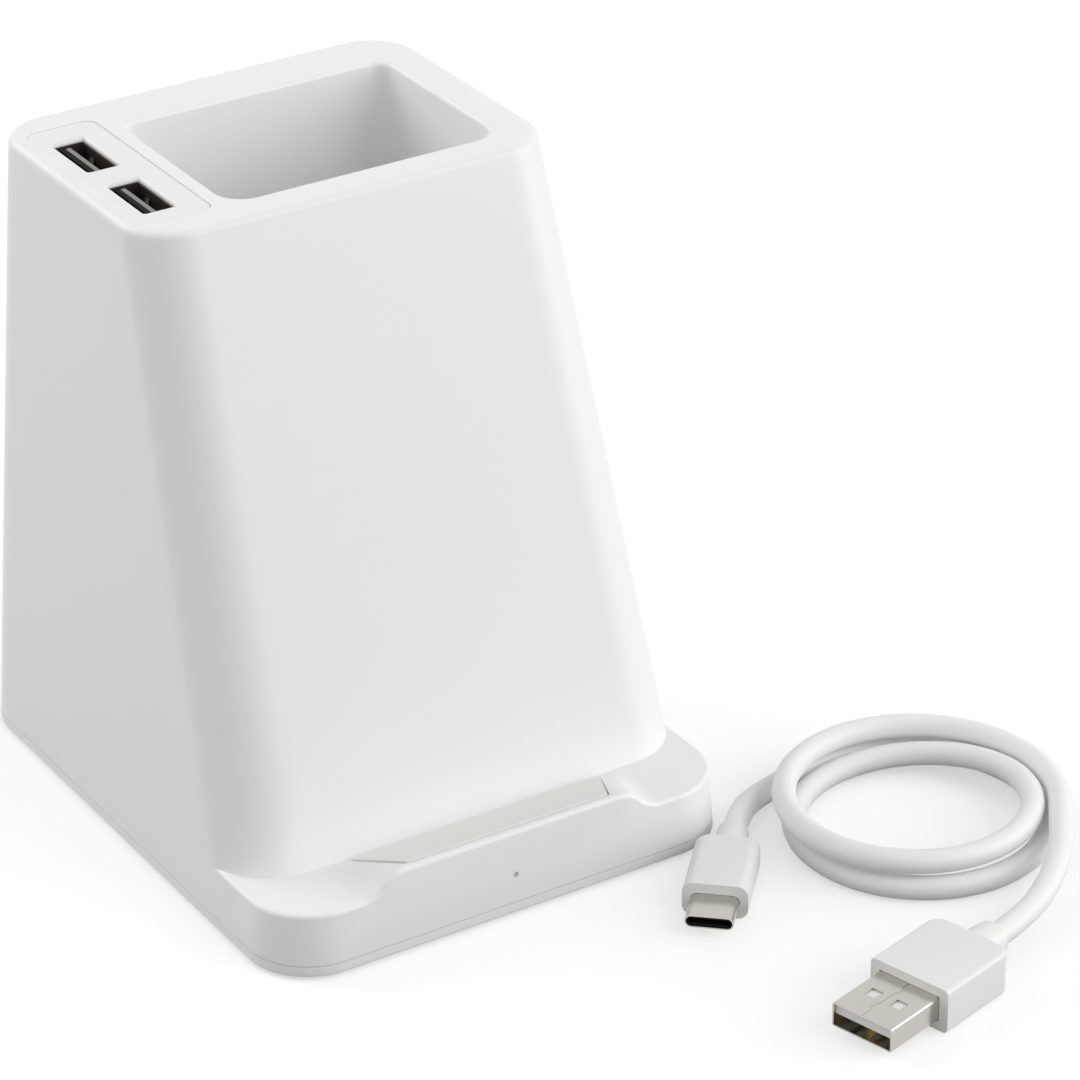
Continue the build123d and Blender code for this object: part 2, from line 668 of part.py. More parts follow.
def ferrite_sheet():
    """A sheet with a round middle opening and a slot down to its edge for the winding's inner end."""
    low = stack_height() - ferrite_thick
    sheet = plate(2 * ferrite_half(), 2 * ferrite_half(), low, stack_height(), ferrite_corner)
    sheet -= rod(ferrite_hole, low - overrun, stack_height() + overrun)
    slot_long = ferrite_half() + overrun
    sheet -= plate(ferrite_slot, slot_long, low - overrun, stack_height() + overrun, coil_wire,
                   crossing_x, -slot_long / 2)
    return coil_plane() * sheet


def coil_bracket():
    low = stack_height()
    bracket = plate(2 * bracket_half(), bracket_high, low, low + bracket_thick, bracket_corner)
    for x, y in bracket_points():
        bracket -= rod(board_shank + loose_fit, low - overrun, low + bracket_thick + overrun, x, y)
    return coil_plane() * bracket


def coil_bracket_screws():
    seat = stack_height() + bracket_thick
    tip = seat - bracket_bite
    return [coil_plane() * screw(board_shank, board_head, board_head_high, seat, tip, x, y)
            for x, y in bracket_points()]


def biarc(start, start_way, end, end_way):
    """Two tangent arcs from one point and direction to another."""
    span, ways = end - start, start_way + end_way
    turn = 2 * (1 - start_way.dot(end_way))
    reach = (math.sqrt(span.dot(ways) ** 2 + turn * span.dot(span)) - span.dot(ways)) / turn
    middle = (start + start_way * reach + end - end_way * reach) * 0.5
    middle_way = end - end_way * reach - middle
    return [Edge.make_tangent_arc(start, start_way, middle), Edge.make_tangent_arc(middle, middle_way, end)]


def wound_path(place, steps, end_run):
    """Biarcs through a curve given as place(share), with a straight run at each end."""
    small_share = 1e-4
    stations = []
    for index in range(steps + 1):
        share = index / steps
        way = (place(share + small_share) - place(share - small_share)).normalized()
        stations.append((place(share), way))
    (first, first_way), (last, last_way) = stations[0], stations[-1]
    edges = [Edge.make_line(first - first_way * end_run, first)]
    for (start, start_way), (end, end_way) in zip(stations, stations[1:]):
        edges += biarc(start, start_way, end, end_way)
    edges.append(Edge.make_line(last, last + last_way * end_run))
    return Wire(edges)


def tube(path, radius):
    """A round tube along a path."""
    start = Plane(origin=path @ 0, z_dir=path % 0)
    return sweep(start * Circle(radius), path=path)


def least_gap(place, turns, diameter, points_per_turn=60):
    """Least clear distance between the turns of a wound curve, measured on points."""
    count = int(turns * points_per_turn)
    points = [place(index / count) for index in range(count + 1)]
    half_turn = points_per_turn // 2
    gaps = [(a - b).length for i, a in enumerate(points) for b in points[i + half_turn:]]
    return min(gaps) - diameter


def winding_place(share):
    """The charging coil's centreline on the coil plane, from the inner end outwards."""
    angle = math.tau * winding_turns() * share - math.pi / 2
    radius = winding_inner + winding_pitch * winding_turns() * share
    return Vector(radius * math.cos(angle), radius * math.sin(angle), skin_gap + winding_wire)


def charging_coil():
    print("charging coil's least gap", round(least_gap(winding_place, winding_turns(), 2 * winding_wire), 3))
    path = wound_path(winding_place, 2 * winding_turns(), 2 * winding_wire)
    return coil_plane() * tube(path, winding_wire)


def cord_coil_place(share):
    """The cord's coil: in on the upper layer, down over the middle half turn and out on the lower layer."""
    angle = math.radians(coil_start_angle) + math.tau * coil_turns * share
    in_share = 1 - abs(2 * share - 1)
    radius = (coil_outer - cord) / 2 - (cord + turn_gap) * coil_turns * in_share / 2
    climb_share = 2 / coil_steps
    sunk = min(max((share - 0.5) / climb_share + 0.5, 0), 1)
    z = cord / 2 + (cord + layer_gap) * (1 + math.cos(math.pi * sunk)) / 2
    return Vector(coil_x + radius * math.cos(angle), coil_y + radius * math.sin(angle), z)


def coil_path():
    return wound_path(cord_coil_place, coil_steps, end_run_share * cord)


def cable_coil():
    print("cord coil's least gap", round(least_gap(cord_coil_place, coil_turns, cord), 3))
    return tube(coil_path(), cord / 2)


def heading(degrees):
    return Vector(math.cos(math.radians(degrees)), math.sin(math.radians(degrees)), 0)


def lead_points(start, start_turn, end_turn, runs, drop):
    """A lead's route on the desk, turning evenly; its height changes over the middle runs alone."""
    points = [start]
    last = len(runs) - 1
    for index, run in enumerate(runs):
        turn = start_turn + (end_turn - start_turn) * index / last
        rise = 0 if index in (0, last) else drop / (last - 1)
        points.append(points[-1] + heading(turn) * run + Vector(0, 0, rise))
    return points


def turn_of(way):
    """A level direction's angle on the desk, in degrees from -360 to 0."""
    return math.degrees(math.atan2(way.Y, way.X)) % 360 - 360


def a_lead_points():
    path = coil_path()
    runs = [a_lead_run] * 4
    return lead_points(path @ 0, turn_of(-(path % 0)), a_plug_turn, runs, a_body_high / 2 - (path @ 0).Z)


def c_lead_points():
    path = coil_path()
    runs = [c_lead_run] * 3
    return lead_points(path @ 1, turn_of(path % 1), c_plug_turn, runs, c_body_high / 2 - (path @ 1).Z)


def bend_radii(points):
    """The largest radius at each corner whose arc stays within nearly half of the shorter run."""
    radii = []
    for before, here, after in zip(points, points[1:], points[2:]):
        turn = math.radians((here - before).get_angle(after - here))
        shorter = min((here - before).length, (after - here).length)
        radii.append(bend_share * shorter / math.tan(turn / 2))
    return radii


def lead_tube(name, points):
    """A tube along a route of straight runs and tangent arcs as large as the runs allow."""
    radii = bend_radii(points)
    print(name, "radii", [round(radius, 1) for radius in radii])
    path = FilletPolyline(*points, radius=radii)
    solid = tube(path, cord / 2)
    print(name, "volume against section times length",
          round(solid.volume / (math.pi * cord ** 2 / 4 * path.length), 4))
    return solid


def lay_plug(points, turn, solid):
    """Lays a plug that was drawn along +X from its boot's end at the end of its lead."""
    end = points[-1]
    return Pos(end.X, end.Y, end.Z) * (Rot(0, 0, turn) * solid)


def boot(long, root, end):
    """A short tapered strain relief along +X."""
    return Pos(long / 2, 0, 0) * (Rot(0, 90, 0) * Cone(end, root, long))


def plug_body(long, wide, high, edge_round, back_round, start):
    """A grip along +X, round at its back corners and soft along every edge but those of its front face."""
    body = Pos(start + long / 2, 0, 0) * Box(long, wide, high)
    body = fillet([edge for edge in body.edges().filter_by(Axis.Z) if edge.center().X < start + long / 2], back_round)
    return fillet([edge for edge in body.edges() if edge.center().X < start + long - edge_round], edge_round)


def usb_a_plug_overmold():
    body = plug_body(a_body_long, a_body_wide, a_body_high, a_body_round, a_back_round, a_boot_long)
    body += boot(a_boot_long + a_body_round, a_boot_root, a_boot_end)
    front = a_boot_long + a_body_long
    pocket = Pos(front - a_shell_hold / 2 + overrun / 2, 0, 0)
    body -= pocket * Box(a_shell_hold + overrun, a_shell_wide + 2 * fit, a_shell_high + 2 * fit)
    return lay_plug(a_lead_points(), a_plug_turn, body)


def usb_a_plug_shell():
    start = a_boot_long + a_body_long - a_shell_hold
    long = a_shell_long + a_shell_hold
    shell = Pos(start + long / 2, 0, 0) * Box(long, a_shell_wide, a_shell_high)
    shell = fillet(shell.edges().filter_by(Axis.X), a_shell_round)
    bore = Box(long + 2 * overrun, a_shell_wide - 2 * a_shell_wall, a_shell_high - 2 * a_shell_wall)
    shell -= Pos(start + long / 2, 0, 0) * bore
    for side in (-1, 1):
        window = Pos(start + long - a_window_from_tip, side * a_window_apart / 2, 0)
        shell -= window * Box(a_window, a_window, a_shell_high + overrun)
    for run in a_seam_runs(start + a_shell_hold):
        shell -= run
    return lay_plug(a_lead_points(), a_plug_turn, shell)


def a_seam_runs(start):
    """The straight runs of the seam on the shell's upper side, from the grip to the mouth."""
    points = [(start - a_seam_wide, 0)]
    for middle, side in zip(a_seam_jag_places, (1, -1)):
        first, last = start + middle - a_seam_jag_long / 2, start + middle + a_seam_jag_long / 2
        aside = side * a_seam_jag
        points += [(first - a_seam_jag, 0), (first, aside), (last, aside), (last + a_seam_jag, 0)]
    points.append((start + a_shell_long + overrun, 0))
    level = a_shell_high / 2
    runs = []
    for (x, y), (next_x, next_y) in zip(points, points[1:]):
        turn = math.degrees(math.atan2(next_y - y, next_x - x))
        bar = Box(math.hypot(next_x - x, next_y - y) + a_seam_wide / 2, a_seam_wide, 2 * a_seam_deep)
        runs.append(Pos((x + next_x) / 2, (y + next_y) / 2, level) * (Rot(0, 0, turn) * bar))
    return runs


def a_insert_low():
    """Level of the insert's underside; it lies against the shell's upper wall."""
    return a_shell_high / 2 - a_shell_wall - fit - a_insert_thick


def usb_a_plug_insert():
    start = a_boot_long + a_body_long - a_shell_hold
    long = a_shell_hold + a_shell_long - a_insert_back
    wide = a_shell_wide - 2 * a_shell_wall - 2 * fit
    insert = Pos(start + long / 2, 0, a_insert_low() + a_insert_thick / 2) * Box(long, wide, a_insert_thick)
    back_high = a_shell_high - 2 * a_shell_wall - 2 * fit
    insert += Pos(start + a_shell_hold / 2, 0, 0) * Box(a_shell_hold, wide, back_high)
    return lay_plug(a_lead_points(), a_plug_turn, insert)


def usb_a_plug_contacts():
    tip = a_boot_long + a_body_long + a_shell_long - 2 * a_insert_back
    strips = []
    for index in range(contact_count):
        y = (index - (contact_count - 1) / 2) * a_contact_pitch
        strip = Pos(tip - a_contact_long / 2, y, a_insert_low() - a_contact_thick / 2)
        strip = strip * Box(a_contact_long, a_contact_wide, a_contact_thick)
        strips.append(lay_plug(a_lead_points(), a_plug_turn, strip))
    return strips


def stadium_x(wide, high, start, end):
    """A bar along +X with a stadium section."""
    across = Plane(origin=(start, 0, 0), x_dir=(0, 1, 0), z_dir=(1, 0, 0))
    return across * extrude(SlotOverall(wide, high), end - start)


def usb_c_plug_overmold():
    body = plug_body(c_body_long, c_body_wide, c_body_high, c_body_round, c_back_round, c_boot_long)
    body += boot(c_boot_long + c_body_round, c_boot_root, c_boot_end)
    front = c_boot_long + c_body_long
    body -= stadium_x(c_shell_wide + 2 * fit, c_shell_high + 2 * fit, front - c_shell_hold, front + overrun)
    return lay_plug(c_lead_points(), c_plug_turn, body)


def usb_c_plug_shell():
    front = c_boot_long + c_body_long
    shell = stadium_x(c_shell_wide, c_shell_high, front - c_shell_hold, front + c_shell_long)
    shell -= stadium_x(c_shell_wide - 2 * c_shell_wall, c_shell_high - 2 * c_shell_wall,
                       front - c_shell_hold - overrun, front + c_shell_long + overrun)
    return lay_plug(c_lead_points(), c_plug_turn, shell)


def usb_c_plug_liner():
    front = c_boot_long + c_body_long
    tip = front + c_shell_long - c_shell_wall
    liner = stadium_x(c_shell_wide - 2 * c_shell_wall - 2 * fit, c_shell_high - 2 * c_shell_wall - 2 * fit,
                      front - c_shell_hold, tip)
    slot = Pos(tip - c_slot_deep / 2 + overrun / 2, 0, 0) * Box(c_slot_deep + overrun, c_slot_wide, c_slot_high)
    return lay_plug(c_lead_points(), c_plug_turn, liner - slot)


def usb_power_leads():
    """Two wires from the output board down between the cup and the side wall to the main board."""
    wires = []
    low = main_top + lead_straight
    for side in (-1, 1):
        y = port_middle_y + side * (power_wire + wire_gap / 2)
        points = [
            (beside_cup(out_board_bottom), y, out_board_bottom), (beside_cup(cup_bottom), y, cup_bottom),
            (-main_half_width + lead_inset, y, low), (-main_half_width + lead_inset, y, main_top),
        ]
        wires.append(inner_wire(points, power_wire))
    return wires


def beside_cup(z):
    """The middle of the gap between the cup and the side wall."""
    cup_side = cup_left - cup_wall + cup_draft * (height - z) / cup_deep
    return (cup_side - side_at(z) + tower_wall) / 2


def charging_coil_leads():
    """The winding's inner end, which loops back and leaves through the ferrite's slot, and its outer end."""
    level, deep = skin_gap + winding_wire, stack_height() - ferrite_thick / 2
    end_run = 2 * winding_wire
    outer = winding_inner + winding_pitch * winding_turns()
    below = -outer - 2 * lead_loop
    inner_route = [
        (-end_run, -winding_inner, level), (-end_run - lead_loop, -winding_inner, level),
        (-end_run - lead_loop, -winding_inner / 2, level), (crossing_x, -winding_inner / 2, (level + deep) / 2),
        (crossing_x, -winding_inner + wire_gap, deep), (crossing_x, below, deep),
    ]
    outer_route = [
        (end_run, -outer, level), (crossing_x + lead_loop, -outer, level), (crossing_x + lead_loop, below, level),
    ]
    return [coil_lead(inner_route), coil_lead(outer_route)]


def coil_lead(route):
    """Follows a route on the coil plane and then drops to the main board."""
    points = [coil_plane().from_local_coords(Vector(*place)) for place in route]
    last = points[-1]
    points.append(Vector(last.X, last.Y, main_top))
    return inner_wire(points, coil_wire)


def inner_wire(points, radius):
    """A thin wire inside the holder, bent as softly as its runs allow."""
    spots = [Vector(point) for point in points]
    return tube(FilletPolyline(*spots, radius=bend_radii(spots)), radius)


nodes = {
    "outer_shell": outer_shell,
    "base_plate": base_plate,
    "rubber_feet": rubber_feet,
    "base_screws": base_screws,
    "ledge_grip_strip": ledge_grip_strip,
    "usb_port_panel": usb_port_panel,
    "usb_panel_screws": usb_panel_screws,
    "usb_output_board": usb_output_board,
    "usb_board_screws": usb_board_screws,
    "main_board": main_board,
    "main_board_screws": main_board_screws,
    "charge_controller_chip": lambda: block(chip_size, chip_x, main_front_y + chip_front, main_top),
    "board_inductors": board_inductors,
    "board_capacitors": board_capacitors,
    "status_led": status_led,
    "led_light_pipe": led_light_pipe,
    "usb_c_inlet_shell": usb_c_inlet_shell,
    "usb_c_inlet_tongue": usb_c_inlet_tongue,
    "charging_coil": charging_coil,
    "charging_coil_leads": charging_coil_leads,
    "ferrite_sheet": ferrite_sheet,
    "coil_bracket": coil_bracket,
    "coil_bracket_screws": coil_bracket_screws,
    "usb_power_leads": usb_power_leads,
    "cable_coil": cable_coil,
    "cable_usb_a_lead": lambda: lead_tube("USB-A lead", a_lead_points()),
    "cable_usb_c_lead": lambda: lead_tube("USB-C lead", c_lead_points()),
    "usb_a_plug_overmold": usb_a_plug_overmold,
    "usb_a_plug_shell": usb_a_plug_shell,
    "usb_a_plug_insert": usb_a_plug_insert,
    "usb_a_plug_contacts": usb_a_plug_contacts,
    "usb_c_plug_overmold": usb_c_plug_overmold,
    "usb_c_plug_shell": usb_c_plug_shell,
    "usb_c_plug_liner": usb_c_plug_liner,
}
for row, port_y in port_rows.items():
    nodes[f"usb_a_port_{row}_shell"] = lambda y=port_y: port_shell(y)
    nodes[f"usb_a_port_{row}_tongue"] = lambda y=port_y: port_tongue(y)
    nodes[f"usb_a_port_{row}_plate"] = lambda y=port_y: port_plate(y)
    nodes[f"usb_a_port_{row}_contacts"] = lambda y=port_y: port_contacts(y)

os.makedirs("parts", exist_ok=True)
for name, make in nodes.items():
    shape = make()
    solids = shape if isinstance(shape, list) else shape.solids()
    whole = Compound(children=[solid for piece in solids for solid in piece.solids()])
    export_step(whole, f"parts/{name}.step")
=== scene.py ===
"""Dresses the pen holder with its charging face, USB ports and loose charge cable.

It adds the finishes, the smooth mouldings, the springs, the winding, the cord and the stage.
"""

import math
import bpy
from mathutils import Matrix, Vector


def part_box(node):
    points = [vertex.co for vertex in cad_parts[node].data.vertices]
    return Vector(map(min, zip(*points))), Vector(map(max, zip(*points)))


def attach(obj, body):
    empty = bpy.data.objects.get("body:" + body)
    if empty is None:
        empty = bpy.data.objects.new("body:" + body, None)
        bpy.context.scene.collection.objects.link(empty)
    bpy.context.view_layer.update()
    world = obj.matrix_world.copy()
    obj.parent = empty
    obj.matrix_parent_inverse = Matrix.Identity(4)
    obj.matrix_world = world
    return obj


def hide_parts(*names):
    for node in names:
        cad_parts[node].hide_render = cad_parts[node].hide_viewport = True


bl_info = {
    "name": "Wireless charger pen holder",
    "version": (1, 0, 0),
    "blender": (4, 5, 0),
    "location": "View3D > Sidebar > Pen holder",
    "description": "Looks of a desk pen holder with a charging face, USB ports and a loose charge cable",
    "category": "Object",
}

import bmesh
import bpy
from mathutils import Matrix, Vector

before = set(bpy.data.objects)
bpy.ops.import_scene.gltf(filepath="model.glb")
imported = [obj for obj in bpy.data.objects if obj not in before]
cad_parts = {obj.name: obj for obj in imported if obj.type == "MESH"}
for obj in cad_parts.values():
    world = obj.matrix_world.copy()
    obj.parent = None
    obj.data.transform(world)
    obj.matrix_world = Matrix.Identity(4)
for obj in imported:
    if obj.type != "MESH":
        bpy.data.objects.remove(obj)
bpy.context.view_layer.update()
MM = 0.001


def linear(hex_colour):
    """An sRGB hex colour as linear RGBA."""
    channels = [int(hex_colour[place:place + 2], 16) / 255 for place in (1, 3, 5)]
    return [c / 12.92 if c <= 0.04045 else ((c + 0.055) / 1.055) ** 2.4 for c in channels] + [1.0]


def grey(level):
    """A neutral linear RGBA."""
    return [level, level, level, 1.0]


def colour_setting(name, hex_colour, description):
    return bpy.props.FloatVectorProperty(name=name, description=description, default=linear(hex_colour),
                                         subtype="COLOR", size=4, min=0, max=1)


def length_setting(name, millimetres, description):
    return bpy.props.FloatProperty(name=name, description=description, default=millimetres * MM, min=0,
                                   subtype="DISTANCE", unit="LENGTH")


def power_setting(name, watts, description):
    return bpy.props.FloatProperty(name=name, description=description, default=watts, min=0, unit="POWER")


def count_setting(name, count, least, most, description):
    return bpy.props.IntProperty(name=name, description=description, default=count, min=least, max=most)


class HolderLook(bpy.types.PropertyGroup):
    """Colours of the holder's mouldings and their finest softening."""
    shell: colour_setting("Shell", "#F2F2F3", "Satin white ABS of the shell and the base")
    panel: colour_setting("Port panel", "#EFEFF0", "White ABS of the panel round the ports")
    strip: colour_setting("Grip strip", "#EDEDE9", "Light grey silicone of the phone ledge")
    edge: length_setting("Edge radius", 0.12, "Softening of the mouldings' sharp edges")
    mouth_round: length_setting("Mouth radius", 0.7, "Rounding of the panel round the ports' mouths")
    strip_proud: length_setting("Strip rise", 0.3, "How far the grip strip's upper face stands off the ledge")


class InnerLook(bpy.types.PropertyGroup):
    """Sizes of the springs in the ports and of the charging winding."""
    finger_width: length_setting("Spring finger width", 2.2, "Width of a spring finger in a port")
    finger_pitch: length_setting("Spring finger pitch", 5.6, "Distance between a port's two spring fingers")
    finger_rise: length_setting("Spring finger rise", 0.6, "How far a spring finger stands out of its wall")
    contact_width: length_setting("Contact width", 1.0, "Width of a contact spring in a port")
    contact_pitch: length_setting("Contact pitch", 2.5, "Distance between the contact springs of a port")
    contact_rise: length_setting("Contact rise", 0.45, "How far a contact spring stands off its carrier")
    sheet: length_setting("Spring sheet", 0.2, "Thickness of the springs")
    strand_lay: length_setting("Strand lay", 12.0, "Length of one twist of the winding's strands")
    strands: count_setting("Strands", 6, 4, 9, "Strands of the winding's wire that lie outside")


class CableLook(bpy.types.PropertyGroup):
    """Sizes and colours of the charge cable."""
    diameter: length_setting("Cord diameter", 4.2, "Outside diameter of the cord")
    jacket: colour_setting("Jacket", "#F4F4F5", "Soft white TPE of the cord")
    overmould: colour_setting("Overmoulds", "#EDEDEA", "Warm white of the plugs' grips")
    points_a_turn: count_setting("Points a turn", 16, 12, 32, "Points of the cord's line on each turn")


class StageLook(bpy.types.PropertyGroup):
    """Light and floor."""
    floor: colour_setting("Floor", "#F7F7F7", "Pale floor")
    right: power_setting("Right softbox", 9.9, "Power of the low softbox on the front's right")
    front: power_setting("Front softbox", 6.8, "Power of the high softbox in front")
    left: power_setting("Left softbox", 2.9, "Power of the low softbox on the left")
    back: power_setting("Back softbox", 9.7, "Power of the high softbox behind, on the left")
    sky: bpy.props.FloatProperty(name="Room light", description="Strength of the even light all round",
                                 default=0.53, min=0, max=2)


def add(tree, kind, inputs=None, **settings):
    """Adds a node with its settings; an input takes a value or another node's output.

    Inputs go by their identifiers, because a node can have several of one name.
    """
    made = tree.nodes.new(kind)
    for name, value in settings.items():
        setattr(made, name, value)
    sockets = {socket.identifier: socket for socket in made.inputs}
    for name, value in (inputs or {}).items():
        if isinstance(value, bpy.types.NodeSocket):
            tree.links.new(value, sockets[name])
        else:
            sockets[name].default_value = value
    return made


def out(made, identifier):
    """The output of a node by its identifier, for nodes with several outputs of one name."""
    return next(socket for socket in made.outputs if socket.identifier == identifier)


def calculated(tree, operation, first, second=None):
    """The output of a maths node on one or two values."""
    inputs = {"Value": first} if second is None else {"Value": first, "Value_001": second}
    return add(tree, "ShaderNodeMath", inputs, operation=operation).outputs["Value"]


def placed(name, data):
    """A new object in the scene."""
    made = bpy.data.objects.new(name, data)
    bpy.context.scene.collection.objects.link(made)
    return made


def new_material(name):
    made = bpy.data.materials.new(name)
    made.use_nodes = True
    made.node_tree.nodes.clear()
    return made


SHADER_SOCKETS = {"ior": "IOR", "metallic": "Metallic", "transmission": "Transmission Weight",
                  "specular": "Specular IOR Level"}
DRIFT = 18.0            # size of the slow drifts of shade, in millimetres


def grained(name, colour, roughness, grain, depth, shade, rough_spread, **shader):
    """A moulded or plated surface: fine grain in the bump and the roughness, with slow drifts of shade.

    grain is the size of a grain and depth its height, both in millimetres.
    """
    made = new_material(name)
    tree = made.node_tree
    place = add(tree, "ShaderNodeTexCoord").outputs["Object"]
    fine = add(tree, "ShaderNodeTexNoise", {"Vector": place, "Scale": 1 / (grain * MM), "Detail": 3.0})
    slow = add(tree, "ShaderNodeTexNoise", {"Vector": place, "Scale": 1 / (DRIFT * MM), "Detail": 2.0})
    darker = [max(0.0, c * (1 - 2 * shade)) for c in colour[:3]] + [1.0]
    tone = add(tree, "ShaderNodeMix", {"Factor_Float": slow.outputs["Fac"], "A_Color": list(colour),
                                       "B_Color": darker}, data_type="RGBA")
    rough = add(tree, "ShaderNodeMapRange", {"Value": fine.outputs["Fac"], "To Min": roughness - rough_spread,
                                             "To Max": roughness + rough_spread})
    bump = add(tree, "ShaderNodeBump", {"Height": fine.outputs["Fac"], "Strength": 1.0,
                                        "Distance": depth * MM})
    surface = add(tree, "ShaderNodeBsdfPrincipled", {"Base Color": out(tone, "Result_Color"),
                                                     "Roughness": rough.outputs["Result"],
                                                     "Normal": bump.outputs["Normal"]})
    for socket, value in shader.items():
        surface.inputs[SHADER_SOCKETS[socket]].default_value = value
    add(tree, "ShaderNodeOutputMaterial", {"Surface": surface.outputs["BSDF"]})
    return made


METAL = {"metallic": 1.0}
# Each finish: its material's name, its colour or the setting that holds it, roughness, size and height of its
# grain in millimetres, drift of its shade, spread of its roughness, and the shader's other inputs
FINISHES = {
    # Injection-moulded ABS with a fine spark-eroded grain: an even satin white with wide soft highlights
    "satin_abs": ("satin_moulded_abs", "shell", 0.42, 0.45, 0.006, 0.008, 0.05, {"ior": 1.53}),
    # The same plastic from a polished cavity, a little glossier
    "panel_abs": ("panel_moulded_abs", "panel", 0.36, 0.4, 0.004, 0.008, 0.04, {"ior": 1.53}),
    # Silicone rubber: dull, slightly dusty, with a visible fine grain
    "silicone": ("moulded_silicone_strip", "strip", 0.68, 0.5, 0.012, 0.015, 0.05, {"ior": 1.41}),
    "rubber": ("moulded_rubber_feet", "#3A3A3B", 0.75, 0.5, 0.015, 0.05, 0.05, {"ior": 1.52}),
    # Extruded TPE: soft sheen along the cord
    "tpe_jacket": ("extruded_tpe_jacket", "jacket", 0.48, 0.6, 0.01, 0.012, 0.05, {"ior": 1.5}),
    "overmould": ("moulded_pc_overmould", "overmould", 0.4, 0.4, 0.005, 0.01, 0.04, {"ior": 1.53}),
    # Stamped receptacle with a dark nickel finish: nearly black inside its deep mouth
    "black_nickel": ("black_nickel_receptacle", "#6A645F", 0.45, 0.25, 0.002, 0.04, 0.07, METAL),
    # Stamped steel with bright nickel
    "nickel": ("nickel_plated_steel", "#C9C6BF", 0.24, 0.25, 0.002, 0.03, 0.07, METAL),
    "gold": ("gold_plated_bronze", "#D9B45F", 0.25, 0.3, 0.002, 0.03, 0.05, METAL),
    # Liquid-crystal polymer of contact carriers: dull, with hardly any highlight deep in a port
    "lcp_black": ("moulded_lcp_black", "#0D0D0D", 0.6, 0.35, 0.004, 0.1, 0.05, {"specular": 0.1}),
    "lcp_grey": ("moulded_lcp_grey", "#8E8D8A", 0.6, 0.35, 0.004, 0.03, 0.05, {"specular": 0.2}),
    "lcp_white": ("moulded_lcp_white", "#EDEDEA", 0.5, 0.35, 0.004, 0.02, 0.05, {"ior": 1.6}),
    "zinc": ("zinc_plated_screw", "#B4B6B8", 0.33, 0.3, 0.003, 0.05, 0.08, METAL),
    "drawn_can": ("drawn_aluminium_can", "#C3C5C8", 0.3, 0.3, 0.002, 0.04, 0.06, METAL),
    "board": ("solder_masked_board", "#1E5B3A", 0.35, 0.8, 0.01, 0.1, 0.06, {"ior": 1.55}),
    "chip": ("moulded_epoxy_package", "#202123", 0.6, 0.3, 0.006, 0.08, 0.05, {"ior": 1.55}),
    "copper": ("enamelled_copper", "#B4683A", 0.28, 0.5, 0.002, 0.05, 0.05, METAL),
    "ferrite": ("sintered_ferrite", "#343437", 0.7, 0.6, 0.01, 0.1, 0.05, {"ior": 1.8}),
    "bracket": ("natural_abs_bracket", "#DCDAD3", 0.5, 0.5, 0.006, 0.02, 0.05, {"ior": 1.53}),
    "pvc_red": ("extruded_pvc_red", "#A8261F", 0.4, 0.6, 0.005, 0.05, 0.05, {"ior": 1.53}),
    # Opal polycarbonate that spreads the indicator's light: a dull grey dot while it is off
    "opal_pc": ("opal_polycarbonate", "#C4C6C5", 0.35, 0.5, 0.002, 0.01, 0.04,
                {"ior": 1.58, "transmission": 0.15}),
    "led_package": ("led_package", "#EFEDDD", 0.35, 0.3, 0.002, 0.02, 0.04, {"ior": 1.5}),
}
made_finishes = {}


def finish_colour(source):
    """A hex colour as linear RGBA, or the holder's or the cable's setting of that name."""
    if source.startswith("#"):
        return linear(source)
    holder, cable = bpy.context.scene.pen_holder_look, bpy.context.scene.pen_holder_cable
    return getattr(holder if hasattr(holder, source) else cable, source)


def finish_material(name):
    """The material of a finish, made when it is first asked for."""
    if name not in made_finishes:
        title, colour, *numbers, shader = FINISHES[name]
        made_finishes[name] = grained(title, finish_colour(colour), *numbers, **shader)
    return made_finishes[name]


def dress(nodes, finish):
    """Gives CAD nodes that stay a finish, in their own material slots."""
    for name in nodes:
        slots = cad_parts[name].material_slots
        for slot in slots:
            slot.material = finish_material(finish)
        if not slots:
            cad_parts[name].data.materials.append(finish_material(finish))


MERGE = 0.002           # vertices nearer to each other than this are one, in millimetres
# Angles in degrees: faces join smoothly up to the first, and an edge is softened over the second
SMOOTH_ANGLE, EDGE_ANGLE = 28, 35


def moulded_copy(name, node, finish, body, edge=0.0):
    """A merged copy of a CAD node with smooth curved faces, and with softened edges where edge is given."""
    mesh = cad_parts[node].data.copy()
    mesh.name = name
    work = bmesh.new()
    work.from_mesh(mesh)
    bmesh.ops.remove_doubles(work, verts=work.verts, dist=MERGE * MM)
    bmesh.ops.dissolve_degenerate(work, edges=work.edges, dist=MERGE * MM)
    work.to_mesh(mesh)
    work.free()
    for attribute in ("custom_normal", "sharp_edge", "sharp_face"):
        if attribute in mesh.attributes:
            mesh.attributes.remove(mesh.attributes[attribute])
    mesh.set_sharp_from_angle(angle=math.radians(SMOOTH_ANGLE))
    mesh.polygons.foreach_set("use_smooth", [True] * len(mesh.polygons))
    piece = placed(name, mesh)
    mesh.materials.clear()
    mesh.materials.append(finish_material(finish))
    if edge:
        soften(piece, edge)
    piece = baked(piece)
    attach(piece, body)
    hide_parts(node)
    return piece


def soften(piece, edge):
    """Rounds a piece's sharp edges and keeps its flat faces flat."""
    bevel = piece.modifiers.new("edges", "BEVEL")
    bevel.width = edge
    bevel.segments = 2
    bevel.limit_method = "ANGLE"
    bevel.angle_limit = math.radians(EDGE_ANGLE)
    bevel.harden_normals = False
    weighted = piece.modifiers.new("even_faces", "WEIGHTED_NORMAL")
    weighted.mode = "FACE_AREA"
    weighted.keep_sharp = True


